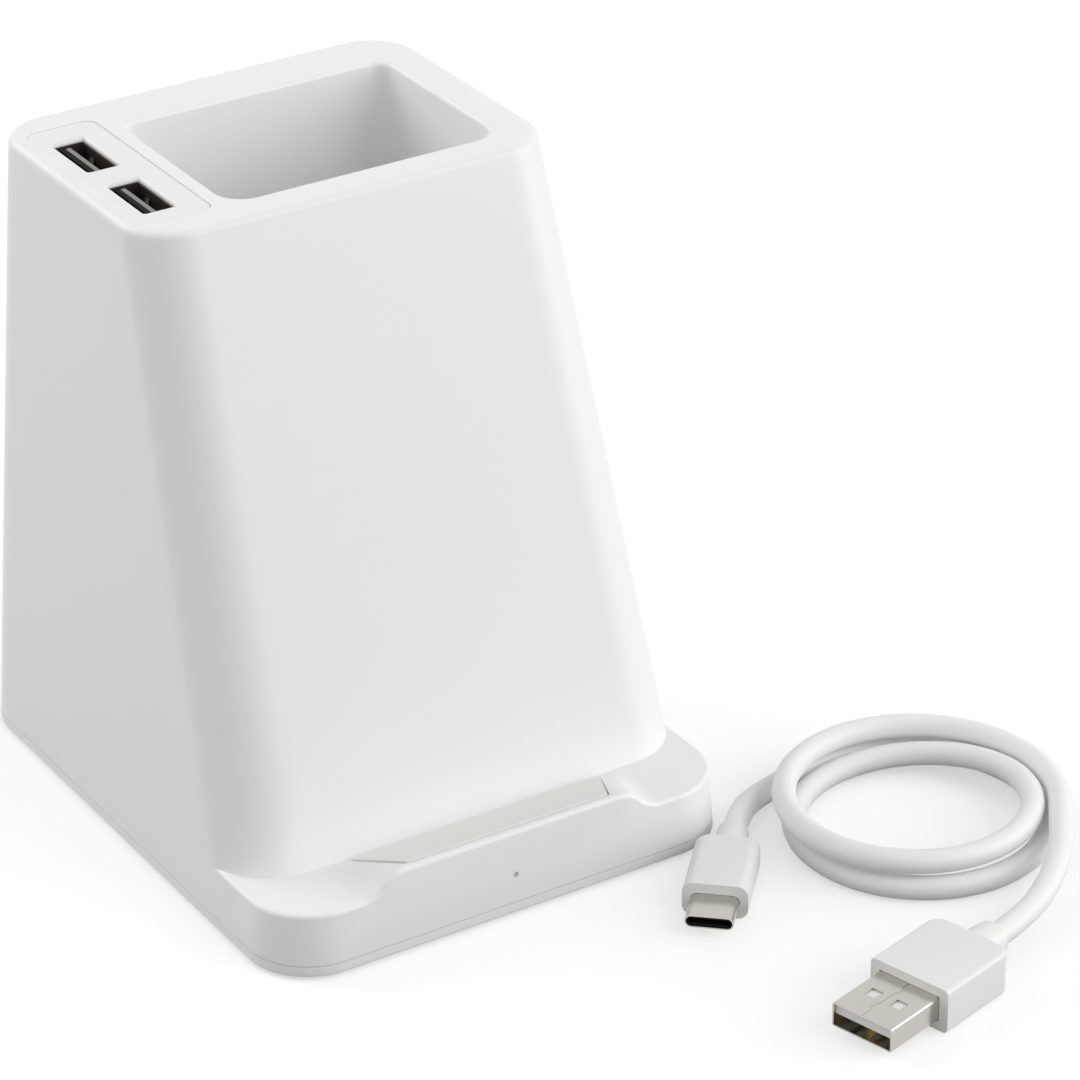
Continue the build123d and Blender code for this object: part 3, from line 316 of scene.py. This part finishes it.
def baked(piece):
    """The same object with its modifiers applied to its mesh."""
    if not piece.modifiers:
        return piece
    bpy.context.view_layer.update()
    graph = bpy.context.evaluated_depsgraph_get()
    mesh = bpy.data.meshes.new_from_object(piece.evaluated_get(graph))
    mesh.name = piece.name
    piece.modifiers.clear()
    old, piece.data = piece.data, mesh
    if isinstance(old, bpy.types.Mesh):
        bpy.data.meshes.remove(old)
    return piece


def rule_tree(name, inputs):
    """A Geometry Nodes tree with named inputs, and the sockets that carry them."""
    tree = bpy.data.node_groups.new(name, "GeometryNodeTree")
    for label, kind in inputs.items():
        tree.interface.new_socket(label, in_out="INPUT", socket_type="NodeSocket" + kind)
    tree.interface.new_socket("Geometry", in_out="OUTPUT", socket_type="NodeSocketGeometry")
    return tree, add(tree, "NodeGroupInput").outputs


def end_tree(tree, geometry, finish):
    """Ends a tree in real, smooth faces with one material."""
    real = add(tree, "GeometryNodeRealizeInstances", {"Geometry": geometry})
    smooth = add(tree, "GeometryNodeSetShadeSmooth", {"Geometry": real.outputs["Geometry"]})
    finished = add(tree, "GeometryNodeSetMaterial", {"Geometry": smooth.outputs["Geometry"],
                                                     "Material": finish})
    end = add(tree, "NodeGroupOutput")
    tree.links.new(finished.outputs["Geometry"], end.inputs["Geometry"])
    return tree


def spring_row_tree():
    """Bent sheet springs in a row along Y, each swept from its root over its belly to a narrower tip."""
    tree, given = rule_tree("spring_row", {
        "Width": "Float", "Sheet": "Float", "Root": "Vector", "Belly": "Vector", "Tip": "Vector",
        "Count": "Int", "Pitch": "Float", "Finish": "Material",
    })
    line = add(tree, "GeometryNodeCurveQuadraticBezier", {"Resolution": 10, "Start": given["Root"],
                                                          "Middle": given["Belly"], "End": given["Tip"]})
    section = add(tree, "GeometryNodeCurvePrimitiveQuadrilateral", {"Width": given["Width"],
                                                                    "Height": given["Sheet"]})
    along = add(tree, "GeometryNodeSplineParameter")
    narrowing = add(tree, "ShaderNodeMapRange", {"Value": along.outputs["Factor"], "From Min": 0.7,
                                                 "From Max": 1.0, "To Min": 1.0, "To Max": 0.6})
    leaf = add(tree, "GeometryNodeCurveToMesh", {"Curve": line.outputs["Curve"],
                                                 "Profile Curve": section.outputs["Curve"],
                                                 "Scale": narrowing.outputs["Result"], "Fill Caps": True})
    span = calculated(tree, "MULTIPLY", calculated(tree, "SUBTRACT", given["Count"], 1.0), given["Pitch"])
    start = add(tree, "ShaderNodeCombineXYZ", {"Y": calculated(tree, "MULTIPLY", span, -0.5)})
    step = add(tree, "ShaderNodeCombineXYZ", {"Y": given["Pitch"]})
    spots = add(tree, "GeometryNodeMeshLine", {"Count": given["Count"], "Offset": step.outputs["Vector"],
                                               "Start Location": start.outputs["Vector"]})
    row = add(tree, "GeometryNodeInstanceOnPoints", {"Points": spots.outputs["Mesh"],
                                                     "Instance": leaf.outputs["Mesh"]})
    return end_tree(tree, row.outputs["Instances"], given["Finish"])


def winding_tree():
    """A flat spiral of stranded wire: strands round a core, turned evenly along the spiral."""
    tree, given = rule_tree("flat_winding", {
        "Turns": "Float", "First radius": "Float", "Last radius": "Float", "Wire radius": "Float",
        "Strands": "Int", "Lay": "Float", "Finish": "Material",
    })
    spiral = add(tree, "GeometryNodeCurveSpiral", {"Resolution": 40, "Rotations": given["Turns"],
                                                   "Start Radius": given["First radius"],
                                                   "End Radius": given["Last radius"], "Height": 0.0})
    along = add(tree, "GeometryNodeSplineParameter")
    twists = calculated(tree, "DIVIDE", along.outputs["Length"], given["Lay"])
    line = add(tree, "GeometryNodeSetCurveTilt", {"Curve": spiral.outputs["Curve"],
                                                  "Tilt": calculated(tree, "MULTIPLY", twists, math.tau)})
    # Strands that touch each other and the wire's outside: their ring's radius, and their own
    spread = calculated(tree, "SINE", calculated(tree, "DIVIDE", math.pi, given["Strands"]))
    ring = calculated(tree, "DIVIDE", given["Wire radius"], calculated(tree, "ADD", spread, 1.0))
    thin = calculated(tree, "SUBTRACT", given["Wire radius"], ring)
    places = add(tree, "GeometryNodeCurvePrimitiveCircle", {"Resolution": given["Strands"], "Radius": ring})
    strand = add(tree, "GeometryNodeCurvePrimitiveCircle", {"Resolution": 6, "Radius": thin})
    bundle = add(tree, "GeometryNodeInstanceOnPoints", {"Points": places.outputs["Curve"],
                                                        "Instance": strand.outputs["Curve"]})
    section = add(tree, "GeometryNodeRealizeInstances", {"Geometry": bundle.outputs["Instances"]})
    wire = add(tree, "GeometryNodeCurveToMesh", {"Curve": line.outputs["Curve"], "Fill Caps": True,
                                                 "Profile Curve": section.outputs["Geometry"]})
    return end_tree(tree, wire.outputs["Mesh"], given["Finish"])


def grown(name, tree, inputs, place, body):
    """A tree's result as a plain mesh in its place on a body."""
    piece = placed(name, bpy.data.meshes.new(name))
    rule = piece.modifiers.new("rule", "NODES")
    rule.node_group = tree
    for item in tree.interface.items_tree:
        if item.in_out == "INPUT":
            rule[item.identifier] = inputs[item.name]
    piece = baked(piece)
    piece.data.transform(place)
    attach(piece, body)
    return piece


# A mouth's play round its receptacle, its corner radius and how near to its wall a point counts as on it, in
# millimetres, and the rings of its rounding
MOUTH_FIT, MOUTH_CORNER, MOUTH_NEAR = 0.05, 0.4, 0.02
MOUTH_RINGS = 5


def round_mouths(panel, radius):
    """Rounds the upper edges of the two mouths in the port panel with rings of a quarter circle."""
    top = max(vertex.co.z for vertex in panel.data.vertices)
    work = bmesh.new()
    work.from_mesh(panel.data)
    angles = [math.pi / 2 * index / MOUTH_RINGS for index in range(MOUTH_RINGS + 1)]
    for row in ("front", "rear"):
        low, high = (Vector(corner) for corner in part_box(f"usb_a_port_{row}_shell"))
        middle, half = (low + high) / 2, (high - low) / 2 + Vector((1, 1, 0)) * MOUTH_FIT * MM

        def past_core(point):
            """How far a point lies outside the mouth's core, which is the mouth without its corner radius."""
            place = point - middle
            limits = (half.x - MOUTH_CORNER * MM, half.y - MOUTH_CORNER * MM)
            core = [max(-limit, min(limit, c)) for c, limit in zip(place[:2], limits)]
            return Vector((place.x - core[0], place.y - core[1], 0))

        def on_wall(point):
            return abs(past_core(point).length - MOUTH_CORNER * MM) < MOUTH_NEAR * MM

        for angle in angles[1:]:
            walls = [face for face in work.faces if all(on_wall(vertex.co) for vertex in face.verts)]
            parts = walls + list({edge for face in walls for edge in face.edges})
            parts += list({vertex for face in walls for vertex in face.verts})
            level = top - radius * (1 - math.cos(angle))
            bmesh.ops.bisect_plane(work, geom=parts, plane_co=(0, 0, level), plane_no=(0, 0, 1),
                                   dist=0.0001 * MM)
        for vertex in work.verts:
            depth = top - vertex.co.z
            if depth < radius and on_wall(vertex.co):
                slope = math.acos(1 - max(depth, 0) / radius)
                vertex.co += past_core(vertex.co).normalized() * radius * (1 - math.sin(slope))
    work.to_mesh(panel.data)
    work.free()


def raise_top(piece, rise):
    """Lifts a flat piece's upper half along the normal of its largest upward face."""
    upward = [face for face in piece.data.polygons if face.normal.z > 0.5]
    normal = max(upward, key=lambda face: face.area).normal.copy()
    levels = [vertex.co.dot(normal) for vertex in piece.data.vertices]
    middle = (min(levels) + max(levels)) / 2
    for vertex, level in zip(piece.data.vertices, levels):
        if level > middle:
            vertex.co += normal * rise


class PENHOLDER_OT_mouldings(bpy.types.Operator):
    """Shell, base plate, port panel and grip strip as smooth mouldings"""
    bl_idname = "penholder.mouldings"
    bl_label = "Shell, base, panel and strip"

    def execute(self, context):
        look = context.scene.pen_holder_look
        moulded_copy("holder_shell", "outer_shell", "satin_abs", "holder")
        moulded_copy("holder_base", "base_plate", "satin_abs", "holder")
        panel = moulded_copy("port_panel", "usb_port_panel", "panel_abs", "holder")
        round_mouths(panel, look.mouth_round)
        strip = moulded_copy("grip_strip", "ledge_grip_strip", "silicone", "holder",
                             look.edge)
        raise_top(strip, look.strip_proud)
        return {"FINISHED"}


# A receptacle's sheet, and the depths below its mouth at which its springs begin and end, in millimetres
PORT_WALL = 0.3
FINGER_ROOT, FINGER_TIP = 8.0, 1.5
CONTACT_ROOT, CONTACT_TIP = 7.0, 1.0
FINGER_COUNT, CONTACT_COUNT = 2, 4


class PENHOLDER_OT_ports(bpy.types.Operator):
    """The USB-A receptacles with their spring fingers and contact springs, and the USB-C inlet"""
    bl_idname = "penholder.ports"
    bl_label = "USB ports and inlet"

    def execute(self, context):
        tree, look = spring_row_tree(), context.scene.pen_holder_inner
        for row in ("front", "rear"):
            dress([f"usb_a_port_{row}_shell"], "black_nickel")
            dress([f"usb_a_port_{row}_tongue"], "lcp_black")
            dress([f"usb_a_port_{row}_plate"], "lcp_grey")
            self.fingers(look, tree, row)
            self.contacts(look, tree, row)
        dress(["usb_c_inlet_shell"], "nickel")
        dress(["usb_c_inlet_tongue"], "lcp_black")
        return {"FINISHED"}

    def mouth(self, row):
        """The receptacle's middle at its mouth, and half its width."""
        low, high = (Vector(corner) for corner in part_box(f"usb_a_port_{row}_shell"))
        middle = (low + high) / 2
        return Vector((middle.x, middle.y, high.z)), high.x - middle.x

    def fingers(self, look, tree, row):
        """Two spring fingers cut from the shell's right wall, which press on the plug."""
        mouth, half_width = self.mouth(row)
        wall = half_width - PORT_WALL * MM - look.sheet / 2
        grown(f"usb_a_port_{row}_fingers", tree, {
            "Width": look.finger_width, "Sheet": look.sheet,
            "Count": FINGER_COUNT, "Pitch": look.finger_pitch,
            "Root": (wall, 0, -FINGER_ROOT * MM), "Tip": (wall, 0, -FINGER_TIP * MM),
            "Belly": (wall - 2 * look.finger_rise, 0, -(FINGER_ROOT + FINGER_TIP) / 2 * MM),
            "Finish": finish_material("black_nickel"),
        }, Matrix.Translation(mouth), "holder")

    def contacts(self, look, tree, row):
        """Four contact springs on the carrier, towards the wider side of the mouth."""
        mouth, _ = self.mouth(row)
        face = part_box(f"usb_a_port_{row}_plate")[1][0] - mouth.x + look.sheet / 2
        springs = grown(f"usb_a_port_{row}_contact_springs", tree, {
            "Width": look.contact_width, "Sheet": look.sheet,
            "Count": CONTACT_COUNT, "Pitch": look.contact_pitch,
            "Root": (face, 0, -CONTACT_ROOT * MM), "Tip": (face, 0, -CONTACT_TIP * MM),
            "Belly": (face + 2 * look.contact_rise, 0, -(CONTACT_ROOT + CONTACT_TIP) / 2 * MM),
            "Finish": finish_material("gold"),
        }, Matrix.Translation(mouth), "holder")
        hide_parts(f"usb_a_port_{row}_contacts")


# The winding behind the charging face, in millimetres: the point of the inner wall that it lies behind, how
# far behind, its first and last radius and its wire's radius; FACE_SLOPE is the face's lean for its height
WINDING_MIDDLE, WINDING_LEVEL, FACE_SLOPE = (0.0, -23.20, 64.0), 0.6, 0.32018
WINDING_FIRST, WINDING_LAST, WINDING_TURNS, WINDING_WIRE = 10.5, 23.55, 9, 0.5


class PENHOLDER_OT_winding(bpy.types.Operator):
    """The charging winding of stranded copper wire behind the face"""
    bl_idname = "penholder.winding"
    bl_label = "Charging winding"

    def execute(self, context):
        look = context.scene.pen_holder_inner
        winding = grown("charging_winding", winding_tree(), {
            "Turns": float(WINDING_TURNS), "First radius": WINDING_FIRST * MM,
            "Last radius": WINDING_LAST * MM, "Wire radius": WINDING_WIRE * MM, "Strands": look.strands,
            "Lay": look.strand_lay, "Finish": finish_material("copper"),
        }, self.place(), "holder")
        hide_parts("charging_coil")
        return {"FINISHED"}

    def place(self):
        """On the inside of the face, turned so that the winding's inner end points down the face."""
        inward = Vector((0, 1, -FACE_SLOPE)).normalized()
        across = Vector((-1, 0, 0))
        turn = Matrix((across, inward.cross(across), inward)).transposed().to_4x4()
        middle = Vector(WINDING_MIDDLE) + inward * WINDING_LEVEL
        return Matrix.Translation(middle * MM) @ turn @ Matrix.Rotation(-math.pi / 2, 4, "Z")


# The indicator's nose in the pinhole of the front wall, in millimetres: the Y of its front, its radius and
# how far it reaches into the light pipe
LENS_FRONT, LENS_RADIUS, LENS_BITE = -55.25, 0.46, 0.2


class PENHOLDER_OT_fixings(bpy.types.Operator):
    """Finishes of the feet, screws and inner parts"""
    bl_idname = "penholder.fixings"
    bl_label = "Feet, screws and electronics"

    def execute(self, context):
        dress(["rubber_feet"], "rubber")
        dress(["base_screws", "usb_panel_screws", "usb_board_screws", "main_board_screws",
               "coil_bracket_screws"], "zinc")
        dress(["usb_output_board", "main_board"], "board")
        dress(["charge_controller_chip", "board_inductors"], "chip")
        dress(["board_capacitors"], "drawn_can")
        dress(["ferrite_sheet"], "ferrite")
        dress(["coil_bracket"], "bracket")
        dress(["charging_coil_leads"], "copper")
        dress(["usb_power_leads"], "pvc_red")
        dress(["led_light_pipe"], "opal_pc")
        dress(["status_led"], "led_package")
        self.lens()
        return {"FINISHED"}

    def lens(self):
        """The light pipe's thin nose, which fills the pinhole almost to the front wall's face."""
        low, high = (Vector(corner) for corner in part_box("led_light_pipe"))
        front = LENS_FRONT * MM
        long = low.y + LENS_BITE * MM - front
        middle = Matrix.Translation((0, front + long / 2, (low.z + high.z) / 2))
        work = bmesh.new()
        bmesh.ops.create_cone(work, cap_ends=True, segments=32, radius1=LENS_RADIUS * MM,
                              radius2=LENS_RADIUS * MM, depth=long,
                              matrix=middle @ Matrix.Rotation(math.pi / 2, 4, "X"))
        mesh = bpy.data.meshes.new("indicator_lens")
        work.to_mesh(mesh)
        work.free()
        mesh.materials.append(finish_material("opal_pc"))
        lens = placed("indicator_lens", mesh)
        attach(lens, "holder")


# The cord's route, repeated from the part's source in millimetres and degrees: the coil, its step from layer
# to layer, and for each lead the length and number of its runs, the way to its plug and the plug's level
COIL_MIDDLE, COIL_START_ANGLE, COIL_TURNS = (70.7, -70.0), -38.2, 2.4
COIL_OUTER, COIL_PITCH, LAYER_RISE = 53.4, 4.7, 4.7
COIL_CLIMB_SHARE = 0.2
CORD_RADIUS = 2.1
A_LEAD_RUN, A_LEAD_RUNS, A_PLUG_TURN, A_PLUG_RISE = 9.3, 4, -164.1, 4.0
C_LEAD_RUN, C_LEAD_RUNS, C_PLUG_TURN, C_PLUG_RISE = 7.4, 3, -132.3, 3.1


def coil_point(share, spread=1.0):
    """The middle of the cord in its coil, as in the source.

    share is the way along the coil from 0 to 1, and spread widens it for a line that cuts inside its points.
    """
    angle = math.radians(COIL_START_ANGLE) + math.tau * COIL_TURNS * share
    inwards = 1 - abs(2 * share - 1)
    radius = spread * ((COIL_OUTER / 2 - CORD_RADIUS) - COIL_PITCH * COIL_TURNS * inwards / 2)
    sunk = min(max((share - 0.5) / COIL_CLIMB_SHARE + 0.5, 0), 1)
    z = CORD_RADIUS + LAYER_RISE * (1 + math.cos(math.pi * sunk)) / 2
    x, y = COIL_MIDDLE
    return Vector((x + radius * math.cos(angle), y + radius * math.sin(angle), z))


def lead_route(start, way, plug_turn, runs, run, plug_rise):
    """A lead's corner points from the coil to its plug."""
    first_turn = math.degrees(math.atan2(way.y, way.x)) % 360 - 360
    points = [start]
    for index in range(runs):
        turn = math.radians(first_turn + (plug_turn - first_turn) * index / (runs - 1))
        rise = 0 if index in (0, runs - 1) else (plug_rise - start.z) / (runs - 2)
        points.append(points[-1] + Vector((math.cos(turn) * run, math.sin(turn) * run, rise)))
    return points


def end_way(share):
    """Direction of the coil's line at one of its ends, leaving the coil."""
    step = 0.0001
    forward = (coil_point(share + step) - coil_point(share - step)).normalized()
    return forward if share > 0.5 else -forward


def cord_points(points_a_turn):
    """The whole cord from the USB-A plug to the USB-C plug."""
    starts = {}
    for share in (0, 1):
        way = end_way(share)
        starts[share] = (coil_point(share) + way * 2 * CORD_RADIUS, way)
    a_lead = lead_route(*starts[0], A_PLUG_TURN, A_LEAD_RUNS, A_LEAD_RUN, A_PLUG_RISE)
    c_lead = lead_route(*starts[1], C_PLUG_TURN, C_LEAD_RUNS, C_LEAD_RUN, C_PLUG_RISE)
    count = round(points_a_turn * COIL_TURNS)
    spread = 1 / math.cos(math.pi / points_a_turn)
    coil = [coil_point((index + 0.5) / count, spread) for index in range(count)]
    return list(reversed(a_lead)) + coil + c_lead


class PENHOLDER_OT_cord(bpy.types.Operator):
    """The coiled cord from plug to plug"""
    bl_idname = "penholder.cord"
    bl_label = "Coiled cord"

    def execute(self, context):
        cable = context.scene.pen_holder_cable
        points = cord_points(cable.points_a_turn)
        curve = bpy.data.curves.new("charge_cord", "CURVE")
        curve.dimensions = "3D"
        line = curve.splines.new("NURBS")
        line.points.add(len(points) - 1)
        for spot, point in zip(line.points, points):
            spot.co = (*(point * MM), 1.0)
        line.order_u = 3
        line.use_endpoint_u = True
        line.resolution_u = 8
        curve.bevel_depth = cable.diameter / 2
        curve.bevel_resolution = 6
        curve.use_fill_caps = True
        curve.materials.append(finish_material("tpe_jacket"))
        cord = placed("charge_cord", curve)
        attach(cord, "charge_cable")
        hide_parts("cable_coil", "cable_usb_a_lead", "cable_usb_c_lead")
        return {"FINISHED"}


class PENHOLDER_OT_plugs(bpy.types.Operator):
    """USB-A and USB-C plugs"""
    bl_idname = "penholder.plugs"
    bl_label = "Plugs"

    def execute(self, context):
        for kind in ("usb_a", "usb_c"):
            moulded_copy(f"{kind}_grip", f"{kind}_plug_overmold", "overmould", "charge_cable")
            moulded_copy(f"{kind}_sleeve", f"{kind}_plug_shell", "nickel", "charge_cable")
        dress(["usb_a_plug_insert"], "lcp_white")
        dress(["usb_a_plug_contacts"], "gold")
        dress(["usb_c_plug_liner"], "lcp_black")
        return {"FINISHED"}


# The camera that was fitted to the photo: place, angles in degrees and focal length over the picture's width
CAMERA_PLACE = Vector((-337.03, -609.98, 419.39)) * MM
CAMERA_AZIMUTH, CAMERA_ELEVATION, CAMERA_ROLL = -31.706, 28.285, -0.674
FOCAL_WIDTHS = 4647.7 / 1080
SENSOR = 36.0           # millimetres across


def direction(azimuth, elevation):
    """The way to a place round the object; azimuths go from the front to the right, both in degrees."""
    azimuth, elevation = math.radians(azimuth), math.radians(elevation)
    return Vector((math.sin(azimuth) * math.cos(elevation), -math.cos(azimuth) * math.cos(elevation),
                   math.sin(elevation)))


def camera_turn():
    """The camera's rotation, as columns for its right, its up and the way it looks from."""
    back, roll = direction(CAMERA_AZIMUTH, CAMERA_ELEVATION), math.radians(CAMERA_ROLL)
    level = (-back).cross(Vector((0, 0, 1))).normalized()
    upright = level.cross(-back)
    right = math.cos(roll) * level + math.sin(roll) * upright
    up = -math.sin(roll) * level + math.cos(roll) * upright
    return Matrix((right, up, back)).transposed()


def seen_directly(tree):
    """1 for what the camera sees, also in gloss and through clear parts, and 0 for light on the object."""
    ray = add(tree, "ShaderNodeLightPath").outputs
    either = calculated(tree, "MAXIMUM", ray["Is Camera Ray"], ray["Is Glossy Ray"])
    return calculated(tree, "MAXIMUM", either, ray["Is Transmission Ray"])


# Azimuth and elevation of each softbox, in degrees
SOFTBOXES = {"right": (60, 12), "front": (30, 35), "left": (270, 12), "back": (210, 35)}
# A softbox's width, its distance and the level that it is turned to, in metres
SOFTBOX_WIDTH, SOFTBOX_DISTANCE, SOFTBOX_AIM = 1.0, 1.6, 0.06


def softbox(name, way, power):
    """A square light that stands off in a direction and is turned towards the object."""
    light = bpy.data.lights.new(name, "AREA")
    light.shape = "SQUARE"
    light.size = SOFTBOX_WIDTH
    light.energy = power
    lamp = placed(name, light)
    lamp.location = Vector((0, 0, SOFTBOX_AIM)) + way * SOFTBOX_DISTANCE
    lamp.rotation_euler = way.to_track_quat("Z", "Y").to_euler()


# Half the floor's width in metres, its own shade, its shade for light that it throws back, and its glow
FLOOR_HALF, FLOOR_SHADE, FLOOR_BOUNCE, FLOOR_GLOW = 4.0, 0.55, 0.3, 0.56


class PENHOLDER_OT_stage(bpy.types.Operator):
    """Camera, pale floor and soft studio light"""
    bl_idname = "penholder.stage"
    bl_label = "Stage"

    def execute(self, context):
        scene, look = context.scene, context.scene.pen_holder_stage
        lens = bpy.data.cameras.new("photo_camera")
        lens.sensor_width = SENSOR
        lens.sensor_fit = "HORIZONTAL"
        lens.lens = SENSOR * FOCAL_WIDTHS
        lens.clip_start, lens.clip_end = 0.05, 20
        camera = placed("photo_camera", lens)
        camera.matrix_world = Matrix.Translation(CAMERA_PLACE) @ camera_turn().to_4x4()
        scene.camera = camera
        scene.view_settings.view_transform = "Standard"
        self.floor(look)
        self.room(scene, look)
        for name, angles in SOFTBOXES.items():
            softbox(f"{name}_softbox", direction(*angles), getattr(look, name))
        return {"FINISHED"}

    def floor(self, look):
        """A pale floor that glows where it is seen, so that it is white but keeps the object's shadow."""
        mesh = bpy.data.meshes.new("floor")
        corners = [(x * FLOOR_HALF, y * FLOOR_HALF, 0) for x, y in ((-1, -1), (1, -1), (1, 1), (-1, 1))]
        mesh.from_pydata(corners, [], [(0, 1, 2, 3)])
        floor = placed("floor", mesh)
        made = new_material("pale_floor")
        tree = made.node_tree
        paper = add(tree, "ShaderNodeBsdfDiffuse", {"Color": grey(FLOOR_SHADE)})
        dim = add(tree, "ShaderNodeBsdfDiffuse", {"Color": grey(FLOOR_BOUNCE)})
        glow = add(tree, "ShaderNodeEmission", {"Color": list(look.floor), "Strength": FLOOR_GLOW})
        seen = add(tree, "ShaderNodeAddShader", {"Shader": paper.outputs["BSDF"],
                                                 "Shader_001": glow.outputs["Emission"]})
        both = add(tree, "ShaderNodeMixShader", {"Fac": seen_directly(tree), "Shader": dim.outputs["BSDF"],
                                                 "Shader_001": seen.outputs["Shader"]})
        add(tree, "ShaderNodeOutputMaterial", {"Surface": both.outputs["Shader"]})
        mesh.materials.append(made)

    def room(self, scene, look):
        """An even room: white where it is seen, dimmer as light on the object."""
        world = bpy.data.worlds.new("white_room")
        world.use_nodes = True
        tree = world.node_tree
        tree.nodes.clear()
        strength = add(tree, "ShaderNodeMapRange", {"Value": seen_directly(tree), "To Min": look.sky,
                                                    "To Max": 1.0})
        sky = add(tree, "ShaderNodeBackground", {"Color": grey(1.0), "Strength": strength.outputs["Result"]})
        add(tree, "ShaderNodeOutputWorld", {"Surface": sky.outputs["Background"]})
        scene.world = world


OPERATORS = (PENHOLDER_OT_stage, PENHOLDER_OT_plugs, PENHOLDER_OT_cord, PENHOLDER_OT_mouldings,
             PENHOLDER_OT_ports, PENHOLDER_OT_winding, PENHOLDER_OT_fixings)


class PENHOLDER_PT_panel(bpy.types.Panel):
    """The pen holder's settings and the operators that build it"""
    bl_idname = "PENHOLDER_PT_panel"
    bl_label = "Pen holder"
    bl_space_type = "VIEW_3D"
    bl_region_type = "UI"
    bl_category = "Pen holder"

    def draw(self, context):
        scene = context.scene
        for group in (scene.pen_holder_look, scene.pen_holder_inner, scene.pen_holder_cable,
                      scene.pen_holder_stage):
            box = self.layout.box()
            for name in group.bl_rna.properties.keys():
                if name not in ("rna_type", "name"):
                    box.prop(group, name)
        for operator in OPERATORS:
            self.layout.operator(operator.bl_idname)


CLASSES = (HolderLook, InnerLook, CableLook, StageLook, *OPERATORS, PENHOLDER_PT_panel)


def register():
    for made in CLASSES:
        bpy.utils.register_class(made)
    bpy.types.Scene.pen_holder_look = bpy.props.PointerProperty(type=HolderLook)
    bpy.types.Scene.pen_holder_inner = bpy.props.PointerProperty(type=InnerLook)
    bpy.types.Scene.pen_holder_cable = bpy.props.PointerProperty(type=CableLook)
    bpy.types.Scene.pen_holder_stage = bpy.props.PointerProperty(type=StageLook)


def unregister():
    del bpy.types.Scene.pen_holder_look
    del bpy.types.Scene.pen_holder_inner
    del bpy.types.Scene.pen_holder_cable
    del bpy.types.Scene.pen_holder_stage
    for made in reversed(CLASSES):
        bpy.utils.unregister_class(made)


def main():
    register()
    for operator in OPERATORS:
        group, name = operator.bl_idname.split(".")
        getattr(getattr(bpy.ops, group), name)()


if __name__ == "__main__":
    main()
